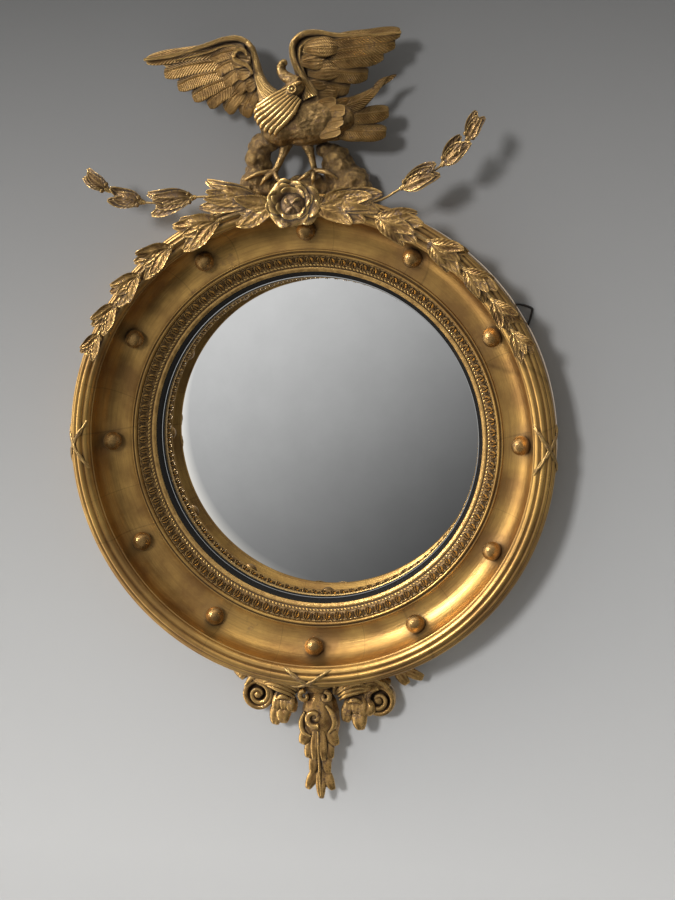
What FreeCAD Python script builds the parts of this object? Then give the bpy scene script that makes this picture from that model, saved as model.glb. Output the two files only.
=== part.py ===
"""Regency convex mirror: a round gilt frame with an eagle cresting, laurel garlands and a carved apron.

Frame of the part: origin at the centre of the ring on the wall plane, +X right, +Z up, and the front of
the mirror faces -Y. A height counts from the wall, so it is a negative Y. Sizes are millimetres.
"""

import FreeCAD, Part
import math
import os
import re

import Sketcher
from FreeCAD import Rotation, Vector

# ---------------------------------------------------------------- driving dimensions
DIMENSIONS = {
    "rim_radius": 330.0,            # outer edge of the reeded moulding
    "side_radius": 326.0,           # plain side wall of the ring
    "crown_height": 98.0,           # front of the moulding
    "crown_inner_radius": 311.5,    # flat crown of the first reed, where the garlands rest
    "crown_outer_radius": 317.5,
    "cove_radius": 34.0,            # hollow that holds the balls
    "cove_middle_radius": 266.0,
    "cove_middle_height": 73.5,
    "bead_radius": 258.5,
    "band_outer_radius": 250.3,     # leaf band between the bead and the slip
    "band_step_radius": 234.6,
    "band_outer_height": 38.0,
    "slip_inner_radius": 223.1,     # ebonised slip, the sight edge of the glass
    "slip_outer_radius": 228.7,
    "slip_height": 20.0,
    "seat_radius": 236.2,
    "rebate_radius": 233.5,
    "glass_radius": 232.5,
    "glass_flat_radius": 222.0,     # inner edge of the flat rim of the glass
    "glass_thickness": 3.0,
    "glass_height": 14.0,
    "glass_bulge": 48.0,
    "board_radius": 240.0,
    "board_recess_radius": 240.5,
    "board_thickness": 5.0,
    "board_nail_radius": 237.8,
    "block_gap": 2.0,               # glazing blocks, between the glass and the backboard
    "block_width": 9.0,
    "block_length": 22.0,
    "ball_radius": 13.0,
    "ball_circle_radius": 281.9,
    "ball_height": 53.0,
    "batten_thickness": 12.0,
    "batten_width": 24.0,
    "crest_batten_offset": 64.0,
    "crest_batten_top": 356.0,
    "batten_inner_radius": 268.0,
    "apron_batten_width": 30.0,
    "apron_batten_bottom": 404.0,
    "nail_width": 1.8,
    "nail_length": 15.0,
    "recess_depth": 5.0,            # bed of each hanger, let into the back
    "recess_half_width": 15.0,
    "strap_thickness": 2.0,
    "strap_half_width": 7.0,
    "strap_length": 46.0,
    "knuckle_half_width": 6.5,
    "pin_radius": 1.5,
    "pin_play": 0.05,
    "pin_height": 2.5,
    "loop_half_width": 11.3,
    "loop_length": 25.3,
    "loop_bar_radius": 1.7,
    "screw_radius": 1.5,
    "screw_head_radius": 3.0,
    "screw_length": 10.0,
    "wire_width": 3.2,
    "wire_thickness": 3.0,
}
BALL_COUNT = 12

# Hanger: where its pin lies behind the right of the ring, and the lean of its strap from level.
HANGER_PIN = (275.0, 155.0)
HANGER_LEAN = 73.5

doc = FreeCAD.newDocument("convex_mirror")
sheet = doc.addObject("Spreadsheet::Sheet", "Dims")
for row, (alias, value) in enumerate(DIMENSIONS.items(), start=1):
    sheet.set(f"A{row}", alias)
    sheet.set(f"B{row}", str(value))
    sheet.setAlias(f"B{row}", alias)
doc.recompute()

nodes = {}


def size(alias):
    """A driving dimension, read from the sheet."""
    return float(sheet.get(alias))


def bound(expression):
    """An expression on the sheet, as another object of the document writes it."""
    def prefixed(word):
        return "Dims." + word.group() if word.group() in DIMENSIONS else word.group()
    return re.sub(r"[a-z_]+", prefixed, str(expression))


def number(expression):
    """The value of an expression on the sheet."""
    return float(sheet.evalExpression(str(expression)))


def keep(feature, label):
    """Names a finished sub-part; the label is also the name of its file."""
    feature.Label = label
    nodes[label] = feature
    return feature


def keep_shape(label, shape):
    """Keeps a carved sub-part, whose form no sketch or primitive describes."""
    feature = doc.addObject("Part::Feature", label)
    feature.Shape = shape
    feature.Placement = FreeCAD.Placement()
    return keep(feature, label)


# ---------------------------------------------------------------- turned rings
def turned_body(name, outline, arcs=None):
    """A body turned about the Y axis.

    outline holds (radius, height) pairs, each an expression on the sheet. arcs maps the number of a side
    to the (radius, height) of a point that its arc passes and the expression of the arc's radius.
    """
    arcs = arcs or {}
    body = doc.addObject("PartDesign::Body", name)
    sketch = body.newObject("Sketcher::SketchObject", name + "_outline")
    sketch.AttachmentSupport = (origin_plane(body, "XY_Plane"), "")
    sketch.MapMode = "FlatFace"

    def place(pair):
        return Vector(number(pair[0]), -number(pair[1]), 0)

    corners = [place(pair) for pair in outline]
    count = len(corners)
    first_end = {}
    for side, start in enumerate(corners):
        end = corners[(side + 1) % count]
        if side in arcs:
            arc, runs_back = counterclockwise_arc(start, place(arcs[side][0]), end)
            sketch.addGeometry(arc, False)
        else:
            runs_back = False
            sketch.addGeometry(Part.LineSegment(start, end), False)
        first_end[side] = 2 if runs_back else 1

    for side, pair in enumerate(outline):
        point = first_end[side]
        before = (side - 1) % count
        sketch.addConstraint(Sketcher.Constraint("Coincident", before, 3 - first_end[before], side, point))
        if abs(corners[side].x) < 1e-9:
            sketch.addConstraint(Sketcher.Constraint("PointOnObject", side, point, -2))
        else:
            across = Sketcher.Constraint("DistanceX", -1, 1, side, point, corners[side].x)
            bind(sketch, sketch.addConstraint(across), pair[0])
        if abs(corners[side].y) < 1e-9:
            sketch.addConstraint(Sketcher.Constraint("PointOnObject", side, point, -1))
        else:
            down = Sketcher.Constraint("DistanceY", side, point, -1, 1, -corners[side].y)
            bind(sketch, sketch.addConstraint(down), pair[1])
    for side, (_, radius) in arcs.items():
        made = sketch.addConstraint(Sketcher.Constraint("Radius", side, number(radius)))
        bind(sketch, made, radius)
    turn = body.newObject("PartDesign::Revolution", name + "_turn")
    turn.Profile = sketch
    turn.ReferenceAxis = (sketch, ["V_Axis"])
    turn.Angle = 360.0
    body.Tip = turn
    doc.recompute()
    return body


def counterclockwise_arc(start, middle, end):
    """The arc through three points, and whether it had to be drawn from its end back to its start."""
    circle = Part.Arc(start, middle, end).toShape().Curve
    centre = circle.Center
    runs_back = (middle - start).cross(end - middle).z < 0
    ends = (end, start) if runs_back else (start, end)
    low, high = [math.atan2(point.y - centre.y, point.x - centre.x) for point in ends]
    if high < low:
        high += 2 * math.pi
    whole = Part.Circle(centre, Vector(0, 0, 1), circle.Radius)
    return Part.ArcOfCircle(whole, low, high), runs_back


def origin_plane(body, role):
    """One of the body's own origin planes."""
    return [plane for plane in body.Origin.OriginFeatures if plane.Role == role][0]


def bind(sketch, constraint, expression):
    """Ties a constraint to the sheet."""
    if re.search("[a-z]", str(expression)):
        sketch.setExpression(f"Constraints[{constraint}]", bound(expression))


def reed(inner_radius, inner_height, outer_radius, outer_height, valley_radius, valley_height):
    """One reed of the moulding: its crown, then the valley after it."""
    return [(inner_radius, inner_height), (outer_radius, outer_height), (valley_radius, valley_height)]


FRAME_OUTLINE = [
    ("board_recess_radius", "0"),
    ("board_recess_radius", "board_thickness"),
    ("rebate_radius", "board_thickness"),
    ("rebate_radius", "glass_height"),
    ("seat_radius", "glass_height"),
    ("seat_radius", "slip_height"),
    ("band_outer_radius", "band_outer_height - 5"),
    ("band_outer_radius", "band_outer_height + 3"),
    ("bead_radius - 5.5", "band_outer_height + 7"),
    ("bead_radius - 1.8", "band_outer_height + 7"),
    ("bead_radius", "cove_middle_height - sqrt(cove_radius^2 - (bead_radius - cove_middle_radius)^2)"),
    ("cove_middle_radius + cove_radius", "cove_middle_height"),
    ("cove_middle_radius + cove_radius", "crown_height - 11"),
    ("crown_inner_radius - 9", "crown_height - 3"),
    ("crown_inner_radius - 2", "crown_height - 1.5"),
    ("crown_inner_radius - 1", "crown_height - 3"),
    *reed("crown_inner_radius", "crown_height", "crown_outer_radius", "crown_height",
          "rim_radius - 11.6", "crown_height - 2.6"),
    *reed("rim_radius - 10", "crown_height - 1.8", "rim_radius - 6.2", "crown_height - 4.4",
          "rim_radius - 6.4", "crown_height - 6.4"),
    *reed("rim_radius - 4.4", "crown_height - 6.6", "rim_radius - 1.8", "crown_height - 10",
          "rim_radius - 3.2", "crown_height - 11.6"),
    *reed("rim_radius - 0.6", "crown_height - 12.8", "rim_radius", "crown_height - 17.2",
          "side_radius", "crown_height - 20"),
    ("side_radius", "0"),
]
COVE_SIDE = 10
ring = turned_body("frame_ring_blank", FRAME_OUTLINE, {
    COVE_SIDE: (("cove_middle_radius", "cove_middle_height - cove_radius"), "cove_radius")})

keep(turned_body("leaf_band", [
    ("slip_outer_radius", "slip_height"),
    ("slip_outer_radius", "slip_height + 2.5"),
    ("band_step_radius - 0.6", "slip_height + 4.5"),
    ("band_step_radius", "slip_height + 3.6"),
    ("band_outer_radius - 1", "band_outer_height + 0.4"),
    ("band_outer_radius", "band_outer_height - 1"),
    ("band_outer_radius", "band_outer_height - 5"),
    ("seat_radius", "slip_height"),
]), "leaf_band")

keep(turned_body("ebonised_slip", [
    ("slip_inner_radius", "glass_height"),
    ("slip_inner_radius", "glass_height + 1.5"),
    ("slip_outer_radius", "slip_height"),
    ("seat_radius", "slip_height"),
    ("seat_radius", "glass_height"),
]), "ebonised_slip")

DOME_RADIUS = "((glass_flat_radius^2 + glass_bulge^2) / (2 * glass_bulge))"
keep(turned_body("mirror_plate", [
    ("0", "glass_height - glass_thickness + glass_bulge"),
    ("0", "glass_height + glass_bulge"),
    ("glass_flat_radius", "glass_height"),
    ("glass_radius", "glass_height"),
    ("glass_radius", "glass_height - glass_thickness"),
    ("glass_flat_radius", "glass_height - glass_thickness"),
], {
    1: (("glass_flat_radius / 2",
         f"glass_height + glass_bulge - {DOME_RADIUS} + sqrt({DOME_RADIUS}^2 - glass_flat_radius^2 / 4)"),
        DOME_RADIUS),
    5: (("glass_flat_radius / 2",
         "glass_height - glass_thickness + glass_bulge"
         f" - {DOME_RADIUS} + sqrt({DOME_RADIUS}^2 - glass_flat_radius^2 / 4)"),
        DOME_RADIUS),
}), "mirror_plate")


def primitive(kind, name, placement, **sizes):
    """A Part primitive with its sizes tied to the sheet."""
    made = doc.addObject(kind, name)
    for prop, expression in sizes.items():
        made.setExpression(prop, bound(expression))
    made.Placement = placement
    return made


FACING_WALL = Rotation(Vector(1, 0, 0), 90)      # turns a primitive's +Z towards -Y, out from the wall

board_disc = primitive("Part::Cylinder", "backboard_disc", FreeCAD.Placement(Vector(), FACING_WALL),
                       Radius="board_radius", Height="board_thickness")


def square_nail(at, length):
    """A cut nail driven in from the wall side at (x, z), its end flush with the back."""
    half = size("nail_width") / 2
    return Part.makeBox(2 * half, length, 2 * half, Vector(at[0] - half, -length, at[1] - half))


def ring_points(radius, angles):
    """Points (x, z) on a circle about the mirror's axis."""
    return [(radius * math.cos(math.radians(a)), radius * math.sin(math.radians(a))) for a in angles]


BOARD_NAIL_ANGLES = range(15, 360, 45)
board_nails = [square_nail(at, size("nail_length"))
               for at in ring_points(size("board_nail_radius"), BOARD_NAIL_ANGLES)]

# ---------------------------------------------------------------- battens behind the crest and the apron
CREST_NAIL_HEIGHTS = (280.0, 300.0, 338.0, 350.0)
APRON_NAIL_HEIGHTS = (-282.0, -305.0, -345.0, -385.0)


def batten(name, middle, width, low, high):
    """A flat oak batten let flush into the back, standing from low to high."""
    made = doc.addObject("Part::Box", name)
    made.Placement = FreeCAD.Placement(Vector(middle - width / 2, -size("batten_thickness"), low), Rotation())
    made.Length = width
    made.setExpression("Width", "Dims.batten_thickness")
    made.Height = high - low
    return made


batten_width = size("batten_width")
offset = size("crest_batten_offset")
inner = size("batten_inner_radius")
batten_boxes = {
    "crest_batten_left": batten("crest_batten_left_blank", -offset, batten_width, inner, size("crest_batten_top")),
    "crest_batten_right": batten("crest_batten_right_blank", offset, batten_width, inner,
                                 size("crest_batten_top")),
    "apron_batten": batten("apron_batten_blank", 0.0, size("apron_batten_width"),
                           -size("apron_batten_bottom"), -inner),
}
doc.recompute()
crest_nails = [square_nail((side * offset, z), 2 * size("nail_length"))
               for side in (-1, 1) for z in CREST_NAIL_HEIGHTS]
apron_nails = [square_nail((x, z), 2 * size("nail_length"))
               for x, z in zip((-8, 8, -8, 8), APRON_NAIL_HEIGHTS)]

UP = Vector(0, -1, 0)       # out from the wall

# ---------------------------------------------------------------- hangers
lean = math.radians(HANGER_LEAN)


def hanger_frame(side):
    """Directions of one hanger: along its strap, across it, and the middle of its pin. side is 1 at the right."""
    along = Vector(side * math.cos(lean), 0, math.sin(lean))
    across = Vector(math.sin(lean), 0, -side * math.cos(lean))
    pin = Vector(side * HANGER_PIN[0], -size("pin_height"), HANGER_PIN[1])
    return along, across, pin


def block(origin, along, across, span_along, span_across, low, high):
    """A block square to a hanger: spans along and across its strap, and heights from the wall."""
    corners = []
    for a, c in ((span_along[0], span_across[0]), (span_along[1], span_across[0]),
                 (span_along[1], span_across[1]), (span_along[0], span_across[1])):
        at = origin + along * a + across * c
        corners.append(Vector(at.x, -low, at.z))
    base = Part.Face(Part.makePolygon(corners + corners[:1]))
    return base.extrude(Vector(0, low - high, 0))


def hanger(side):
    """The strap with its knuckle, the swinging loop, the screws, and the bed for them in the frame."""
    along, across, pin = hanger_frame(side)
    half, knuckle = size("strap_half_width"), size("knuckle_half_width")
    depth, thickness = size("recess_depth"), size("strap_thickness")
    reach, bar = size("loop_half_width"), size("loop_bar_radius")
    bed = block(pin, along, across, (-size("strap_length") - 2, 60), (-size("recess_half_width"),
                size("recess_half_width")), -1, depth)
    strap = block(pin, along, across, (-size("strap_length"), -1), (-half, half), depth - thickness, depth)
    barrel = block(pin, along, across, (-2.4, 2.4), (-knuckle, knuckle), 0.1, depth)
    bore = Part.makeCylinder(size("pin_radius") + size("pin_play"), 4 * knuckle, pin - across * 2 * knuckle, across)
    strap = strap.fuse(barrel).cut(bore)
    screws = []
    for distance in (14, 36):
        seat = pin - along * distance
        seat.y = -(depth - thickness)
        neck, end = seat + UP * thickness, seat + UP * (thickness + size("screw_length"))
        head, shank = size("screw_head_radius"), size("screw_radius")
        screws.append(tube([seat, neck, end], [(head, head), (shank, shank), (shank, shank)], 8, along))
    for screw in screws:
        strap = strap.cut(screw)
    # The loop: a pin bar through the knuckle, two side bars and a top bar, mitred at the corners.
    length = size("loop_length")
    pin_bar = Part.makeCylinder(size("pin_radius"), 2 * reach, pin - across * reach, across)
    loop = pin_bar
    for sign in (-1, 1):
        foot = pin + across * (sign * reach)
        loop = loop.fuse(tube([foot - along * bar, foot + along * (length + bar)], [(bar, bar)] * 2, 6))
    top = pin + along * length
    loop = loop.fuse(tube([top - across * reach, top + across * reach], [(bar, bar)] * 2, 6))
    return bed, strap.removeSplitter(), loop.removeSplitter(), screws


# ---------------------------------------------------------------- carving
def skin(sections):
    """A closed solid of flat facets through sections, which hold equally many points, or a single one."""
    faces = []

    def facet(*corners):
        faces.append(Part.Face(Part.makePolygon(list(corners) + [corners[0]])))

    for lower, upper in zip(sections, sections[1:]):
        count = max(len(lower), len(upper))
        for i in range(count):
            j = (i + 1) % count
            if len(lower) > 1:
                facet(lower[i], lower[j], upper[j % len(upper)])
            if len(upper) > 1:
                facet(lower[i % len(lower)], upper[j], upper[i])
    for end in (sections[0], sections[-1]):
        for i in range(1, len(end) - 1):
            facet(end[0], end[i], end[i + 1])
    shell = Part.makeShell(faces)
    shell.sewShape()
    solid = Part.makeSolid(shell)
    if solid.Volume < 0:
        solid.reverse()
    return solid


def oval(centre, across, upward, half_across, half_up, count):
    """Points round an ellipse, half a step round so that no corner stands on either axis."""
    points = []
    for i in range(count):
        turn = 2 * math.pi * (i + 0.5) / count
        points.append(centre + across * (half_across * math.cos(turn)) + upward * (half_up * math.sin(turn)))
    return points


def tube(path, halves, count, upward=Vector(0, -1, 0)):
    """A faceted limb along a path; halves gives its half width across and towards upward at each point."""
    sections = []
    for i, centre in enumerate(path):
        along = path[min(i + 1, len(path) - 1)] - path[max(i - 1, 0)]
        along.normalize()
        across = along.cross(upward)
        across.normalize()
        up = across.cross(along)
        sections.append(oval(centre, across, up, halves[i][0], halves[i][1], count))
    return skin(sections)


def leaf(base, tip, face, width, rise, arch=0.0, blunt=0.0):
    """A lance leaf or a feather from base to tip, ridged on the side that face points to.

    arch lifts its middle, and blunt from 0 to 1 keeps the tip wide, as a feather's is.
    """
    along = tip - base
    across = along.cross(face)
    across.normalize()
    up = across.cross(along)
    up.normalize()
    stations = [(0.0, 0.35), (0.35, 1.0), (0.72, 0.78 + 0.22 * blunt)]
    if blunt:
        stations.append((0.93, 0.3 + 0.4 * blunt))
    sections = []
    for share, breadth in stations:
        centre = base + along * share + up * (arch * math.sin(math.pi * share))
        half = width / 2 * breadth
        ridge = rise * (0.6 + 0.4 * breadth)
        sections.append([centre - across * half, centre + across * half, centre + up * ridge])
    sections.append([tip])
    return skin(sections)


def at(x, z, height):
    """A point of the carving: its place on the front view and its height from the wall."""
    return Vector(x, -height, z)


def joined(shapes):
    """Overlapping solids fused together."""
    return shapes[0].multiFuse(shapes[1:]) if len(shapes) > 1 else shapes[0]


def trimmed(shape, *others):
    """The shape without what the others fill; a splinter cut loose is dropped."""
    for other in others:
        shape = shape.cut(other)
    return max(shape.Solids, key=lambda solid: solid.Volume)


# ---------------------------------------------------------------- balls in the cove
def ball_outline():
    """Half outline of a turned ball, in straight steps: (distance along its axis, radius)."""
    radius = size("ball_radius")
    steps = [(-radius, 0.0)]
    steps += [(radius * math.sin(math.radians(t)), radius * math.cos(math.radians(t)))
              for t in (-50, 0, 50)]
    return steps + [(radius, 0.0)]


def turned_ball(centre, axis):
    """A ball about an axis that points out of the cove, in eight gores."""
    across = axis.cross(Vector(1, 0, 0))
    across.normalize()
    upward = across.cross(axis)
    sections = []
    for along, radius in ball_outline():
        middle = centre + axis * along
        sections.append(oval(middle, across, upward, radius, radius, 8) if radius else [middle])
    return skin(sections)


frame_blank = ring.Shape
first_ball = turned_ball(Vector(0, -size("ball_height"), size("ball_circle_radius")), Vector(0, -0.82, -0.57))
first_ball = trimmed(first_ball, frame_blank)
balls = []
for step in range(BALL_COUNT):
    copy = first_ball.copy()
    copy.rotate(Vector(), Vector(0, 1, 0), 360.0 * step / BALL_COUNT)
    balls.append(copy)
keep_shape("frame_balls", Part.makeCompound(balls))

# ---------------------------------------------------------------- glazing blocks behind the rim of the glass
BLOCK_ANGLES = range(0, 360, 60)
blocks = []
for angle in BLOCK_ANGLES:
    back_of_glass = size("glass_height") - size("glass_thickness")
    wedge = Part.makeBox(size("block_width"), back_of_glass - size("board_thickness"), size("block_length"),
                         Vector(size("rebate_radius") - size("block_gap") - size("block_width"), -back_of_glass,
                                -size("block_length") / 2))
    wedge.rotate(Vector(), Vector(0, 1, 0), angle)
    blocks.append(wedge)
keep_shape("glazing_blocks", Part.makeCompound(blocks))

# ---------------------------------------------------------------- rockwork under the eagle
ROCK_HALF_DEPTH = 25.0
ROCK_HEIGHT = 40.0          # middle of the rock, from the wall


def rock(points, halves, count=6, seed=0.0):
    """A lumpy limb of rock: a tube whose corners stand in and out by turns."""
    path = [at(x, z, ROCK_HEIGHT + 3 * math.sin(2.1 * i + seed)) for i, (x, z) in enumerate(points)]
    sections = []
    for i, centre in enumerate(path):
        along = path[min(i + 1, len(path) - 1)] - path[max(i - 1, 0)]
        along.normalize()
        across = along.cross(Vector(0, -1, 0))
        across.normalize()
        corners = []
        for j in range(count):
            turn = 2 * math.pi * j / count
            swell = 1 + 0.16 * math.sin(2.7 * j + 1.9 * i + seed)
            corners.append(centre + across * (halves[i] * swell * math.cos(turn))
                           + Vector(0, -1, 0) * (ROCK_HALF_DEPTH * swell * math.sin(turn)))
        sections.append(corners)
    return skin(sections)


LEFT_PIER = [(-68, 326), (-68, 344), (-67, 358), (-66, 371), (-65, 386), (-60, 400), (-42, 403)]
RIGHT_PIER = [(56, 326), (54, 344), (46, 358), (42, 370), (32, 382), (14, 391)]
ROCK_BASE = [(-88, 334), (-66, 338), (-40, 338), (-14, 342), (12, 340), (40, 336), (64, 336), (86, 334)]
left_pier = rock(LEFT_PIER, [18, 19, 20, 14, 20, 17, 8], seed=0.4)
right_pier = rock(RIGHT_PIER, [24, 26, 27, 23, 15, 6], seed=1.7)
rock_base = rock(ROCK_BASE, [6, 15, 14, 15, 15, 14, 15, 6], seed=2.9)
battens_shape = joined([box.Shape for box in batten_boxes.values()])
ring_cylinder = Part.makeCylinder(size("side_radius"), 120, Vector(0, 10, 0), Vector(0, -1, 0))
rockwork = trimmed(joined([rock_base, left_pier, right_pier]), ring_cylinder, battens_shape)

# ---------------------------------------------------------------- the eagle
BODY_HEIGHT = 66.0


def limb(points, halves, count, depth_share=1.0, height=BODY_HEIGHT, rise=0.0):
    """A tapered limb over points (x, z); rise is how far it comes forward from its first point to its last."""
    last = len(points) - 1
    path = [at(x, z, height + rise * i / last) for i, (x, z) in enumerate(points)]
    return tube(path, [(half, half * depth_share) for half in halves], count)


BODY_SPINE = [(-52, 416), (-44, 416), (-28, 418), (-4, 421), (20, 421), (42, 421), (58, 422), (68, 424)]
BODY_HALVES = [8, 20, 29, 34, 33, 26, 17, 9]
NECK_SPINE = [(-46, 414), (-38, 424), (-26, 438), (-12, 454), (-4, 466), (0, 474)]
NECK_HALVES = [9, 19, 18, 14, 11, 6]
BEAK_SPINE = [(0, 470), (-10, 473), (-18, 479), (-21, 487), (-16, 494), (-12, 489)]
BEAK_HALVES = [8, 6, 5, 4.5, 3.5, 1.2]

trunk = limb(BODY_SPINE, BODY_HALVES, 10, 0.8)
neck = limb(NECK_SPINE, NECK_HALVES, 8, 0.8, BODY_HEIGHT + 12, 6)
beak = limb(BEAK_SPINE, BEAK_HALVES, 5, 0.9, BODY_HEIGHT + 18)
eye_centre = at(-4, 459, BODY_HEIGHT + 22)
eye = tube([eye_centre, eye_centre + UP * 6, eye_centre + UP * 9], [(8, 8), (7, 7), (3, 3)], 8,
           Vector(0, 0, 1))
plumes = []
PLUME_COUNT = 5
for index in range(PLUME_COUNT):
    share = index / (PLUME_COUNT - 1)
    root = at(-14 + 16 * share, 462 - 12 * share, BODY_HEIGHT + 22)
    end = at(-55 + 26 * share, 430 - 24 * share, BODY_HEIGHT + 16)
    plumes.append(leaf(root, end, UP, 12, 5, arch=9, blunt=1.0))
eagle_body = joined([trunk, neck, beak, eye] + plumes)

WING_HEIGHT = 62.0
FEATHER_RISE = 3.2


def feathers(rows, width, height, arch=4.0, blunt=0.8, rise=FEATHER_RISE):
    """Overlapping feathers from rows of (x, z) root and tip, each a little further forward than the last."""
    made = []
    for i, (root, tip) in enumerate(rows):
        lift = 1.4 * (i % 2)
        made.append(leaf(at(*root, height + lift), at(*tip, height + lift), UP, width, rise, arch, blunt))
    return made


def plate(outline, height, thickness):
    """A flat web of an outline (x, z), the flesh of a wing behind its feathers."""
    corners = [at(x, z, height) for x, z in outline]
    return Part.Face(Part.makePolygon(corners + corners[:1])).extrude(UP * thickness)


LEFT_ARM = [(-24, 444), (-44, 462), (-56, 484), (-60, 508), (-70, 524), (-92, 530), (-124, 524), (-166, 514),
            (-206, 508)]
LEFT_ARM_HALVES = [15, 13, 8, 7, 7.5, 7, 6, 5, 3]
LEFT_PRIMARIES = [((-100, 518), (-214, 510)), ((-92, 508), (-187, 491)), ((-86, 500), (-171, 477)),
                  ((-78, 492), (-151, 460)), ((-70, 484), (-131, 451)), ((-60, 476), (-100, 441)),
                  ((-48, 466), (-70, 431))]
LEFT_COVERTS = [((-70, 514), (-126, 509)), ((-66, 506), (-118, 492)), ((-62, 497), (-106, 476)),
                ((-57, 486), (-92, 462)), ((-48, 472), (-72, 450))]
LEFT_WEB = [(-28, 438), (-58, 486), (-64, 520), (-90, 530), (-140, 516), (-132, 482), (-100, 458), (-62, 438)]
RIGHT_ARM = [(10, 456), (4, 474), (-4, 490), (-10, 506), (-9, 520), (2, 529), (22, 531), (44, 527), (70, 524),
             (100, 524), (130, 526)]
RIGHT_ARM_HALVES = [10, 8, 7, 6, 6, 6, 6, 6, 5, 4, 2]
RIGHT_PRIMARIES = [((44, 519), (133, 525)), ((40, 507), (130, 516)), ((40, 494), (112, 500)),
                   ((38, 482), (92, 476)), ((36, 470), (74, 458))]
RIGHT_COVERTS = [((6, 500), (42, 514)), ((14, 494), (52, 502)), ((16, 484), (50, 484)), ((14, 472), (48, 466))]
RIGHT_WEB = [(8, 452), (-2, 490), (-8, 514), (6, 530), (44, 526), (66, 514), (68, 480), (48, 452)]


def wing(arm, halves, primaries, coverts, web, widths):
    """A spread wing: rolled leading edge, a web, a fan of primaries and a row of coverts over their roots."""
    edge = tube([at(x, z, WING_HEIGHT + 4) for x, z in arm], [(half, half * 1.1) for half in halves], 6)
    return joined([edge, plate(web, WING_HEIGHT - 3, 6.0)]
                  + feathers(primaries, widths[0], WING_HEIGHT)
                  + feathers(coverts, widths[1], WING_HEIGHT + 5, arch=3.0, blunt=0.0))


TAIL_FEATHERS = [((40, 436), (117, 467)), ((42, 425), (116, 430)), ((44, 410), (113, 403))]
wing_left = wing(LEFT_ARM, LEFT_ARM_HALVES, LEFT_PRIMARIES, LEFT_COVERTS, LEFT_WEB, (23, 19))
wing_right = wing(RIGHT_ARM, RIGHT_ARM_HALVES, RIGHT_PRIMARIES, RIGHT_COVERTS, RIGHT_WEB, (18, 17))
tail = joined([limb([(40, 423), (60, 423), (76, 424)], [14, 15, 8], 8, 0.5, 58)]
              + feathers(TAIL_FEATHERS, 21, 56.0, arch=2.0, blunt=0.9))


def eagle_leg(knee, ankle, toes, top):
    """A leg from the belly to the rock, with its toes and their claws spread over the rock."""
    shank = limb([top, knee, ankle], [8.5, 5, 5], 7, 1.0, 60)
    parts = [shank]
    for middle, tip in toes:
        toe = tube([at(*ankle, 60), at(*middle, 66), at(*tip, 66)], [(4, 4), (3.4, 3.4), (1.2, 1.2)], 6)
        parts.append(toe)
    return joined(parts)


leg_left = eagle_leg((-31, 374), (-38, 358), [((-60, 356), (-78, 348)), ((-46, 350), (-54, 342)),
                                              ((-30, 350), (-24, 343))], (-22, 396))
leg_right = eagle_leg((10, 374), (14, 358), [((34, 354), (46, 346)), ((12, 348), (10, 340)),
                                             ((2, 352), (-6, 345))], (2, 396))
rockwork = trimmed(rockwork, leg_left, leg_right)
eagle_body = trimmed(eagle_body, rockwork)
wing_left = trimmed(wing_left, eagle_body, rockwork)
wing_right = trimmed(wing_right, eagle_body)
tail = trimmed(tail, eagle_body, wing_right, rockwork)
leg_left = trimmed(leg_left, eagle_body)
leg_right = trimmed(leg_right, eagle_body)
keep_shape("rockwork", rockwork)
keep_shape("eagle_body", eagle_body)
keep_shape("eagle_wing_left", wing_left)
keep_shape("eagle_wing_right", wing_right)
keep_shape("eagle_tail", tail)
keep_shape("eagle_leg_left", leg_left)
keep_shape("eagle_leg_right", leg_right)

# ---------------------------------------------------------------- rosette under the eagle
ROSETTE_CENTRE = (0.0, 316.0)
ROSETTE_PETALS = 7
# (height above the crown of the frame, radius, depth of the scallop between petals)
ROSETTE_PROFILE = [(0, 22, 0.0), (6, 33, 0.08), (16, 39, 0.12), (26, 37, 0.14), (27, 31, 0.10), (16, 23, 0.04),
                   (20, 21, 0.0), (32, 19, 0.10), (38, 12, 0.12)]


def rosette():
    """An open rose seen from the front: a scalloped cup of petals round a closed bud."""
    steps = 3 * ROSETTE_PETALS
    crown = size("crown_height")
    sections = []
    for height, radius, scallop in ROSETTE_PROFILE:
        points = []
        for i in range(steps):
            turn = 2 * math.pi * i / steps
            reach = radius * (1 + scallop * math.cos(ROSETTE_PETALS * turn))
            points.append(at(ROSETTE_CENTRE[0] + reach * math.cos(turn), ROSETTE_CENTRE[1] + reach * math.sin(turn),
                             crown + height))
        sections.append(points)
    sections.append([at(*ROSETTE_CENTRE, crown + ROSETTE_PROFILE[-1][0] + 1)])
    return skin(sections)


rose = rosette()
keep_shape("crest_rosette", rose)

# ---------------------------------------------------------------- laurel: leaves on wire
LAUREL_RISE = 2.6


def wire(path):
    """A flat gilt wire along (x, z, height) points; its underside runs at those heights."""
    half, thickness = size("wire_width") / 2, size("wire_thickness")
    sections = []
    for i, (x, z, height) in enumerate(path):
        ahead, behind = path[min(i + 1, len(path) - 1)], path[max(i - 1, 0)]
        along = Vector(ahead[0] - behind[0], 0, ahead[1] - behind[1])
        along.normalize()
        across = along.cross(UP) * half
        low, high = at(x, z, height), at(x, z, height + thickness)
        sections.append([low - across, low + across, high + across, high - across])
    return skin(sections)


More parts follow.
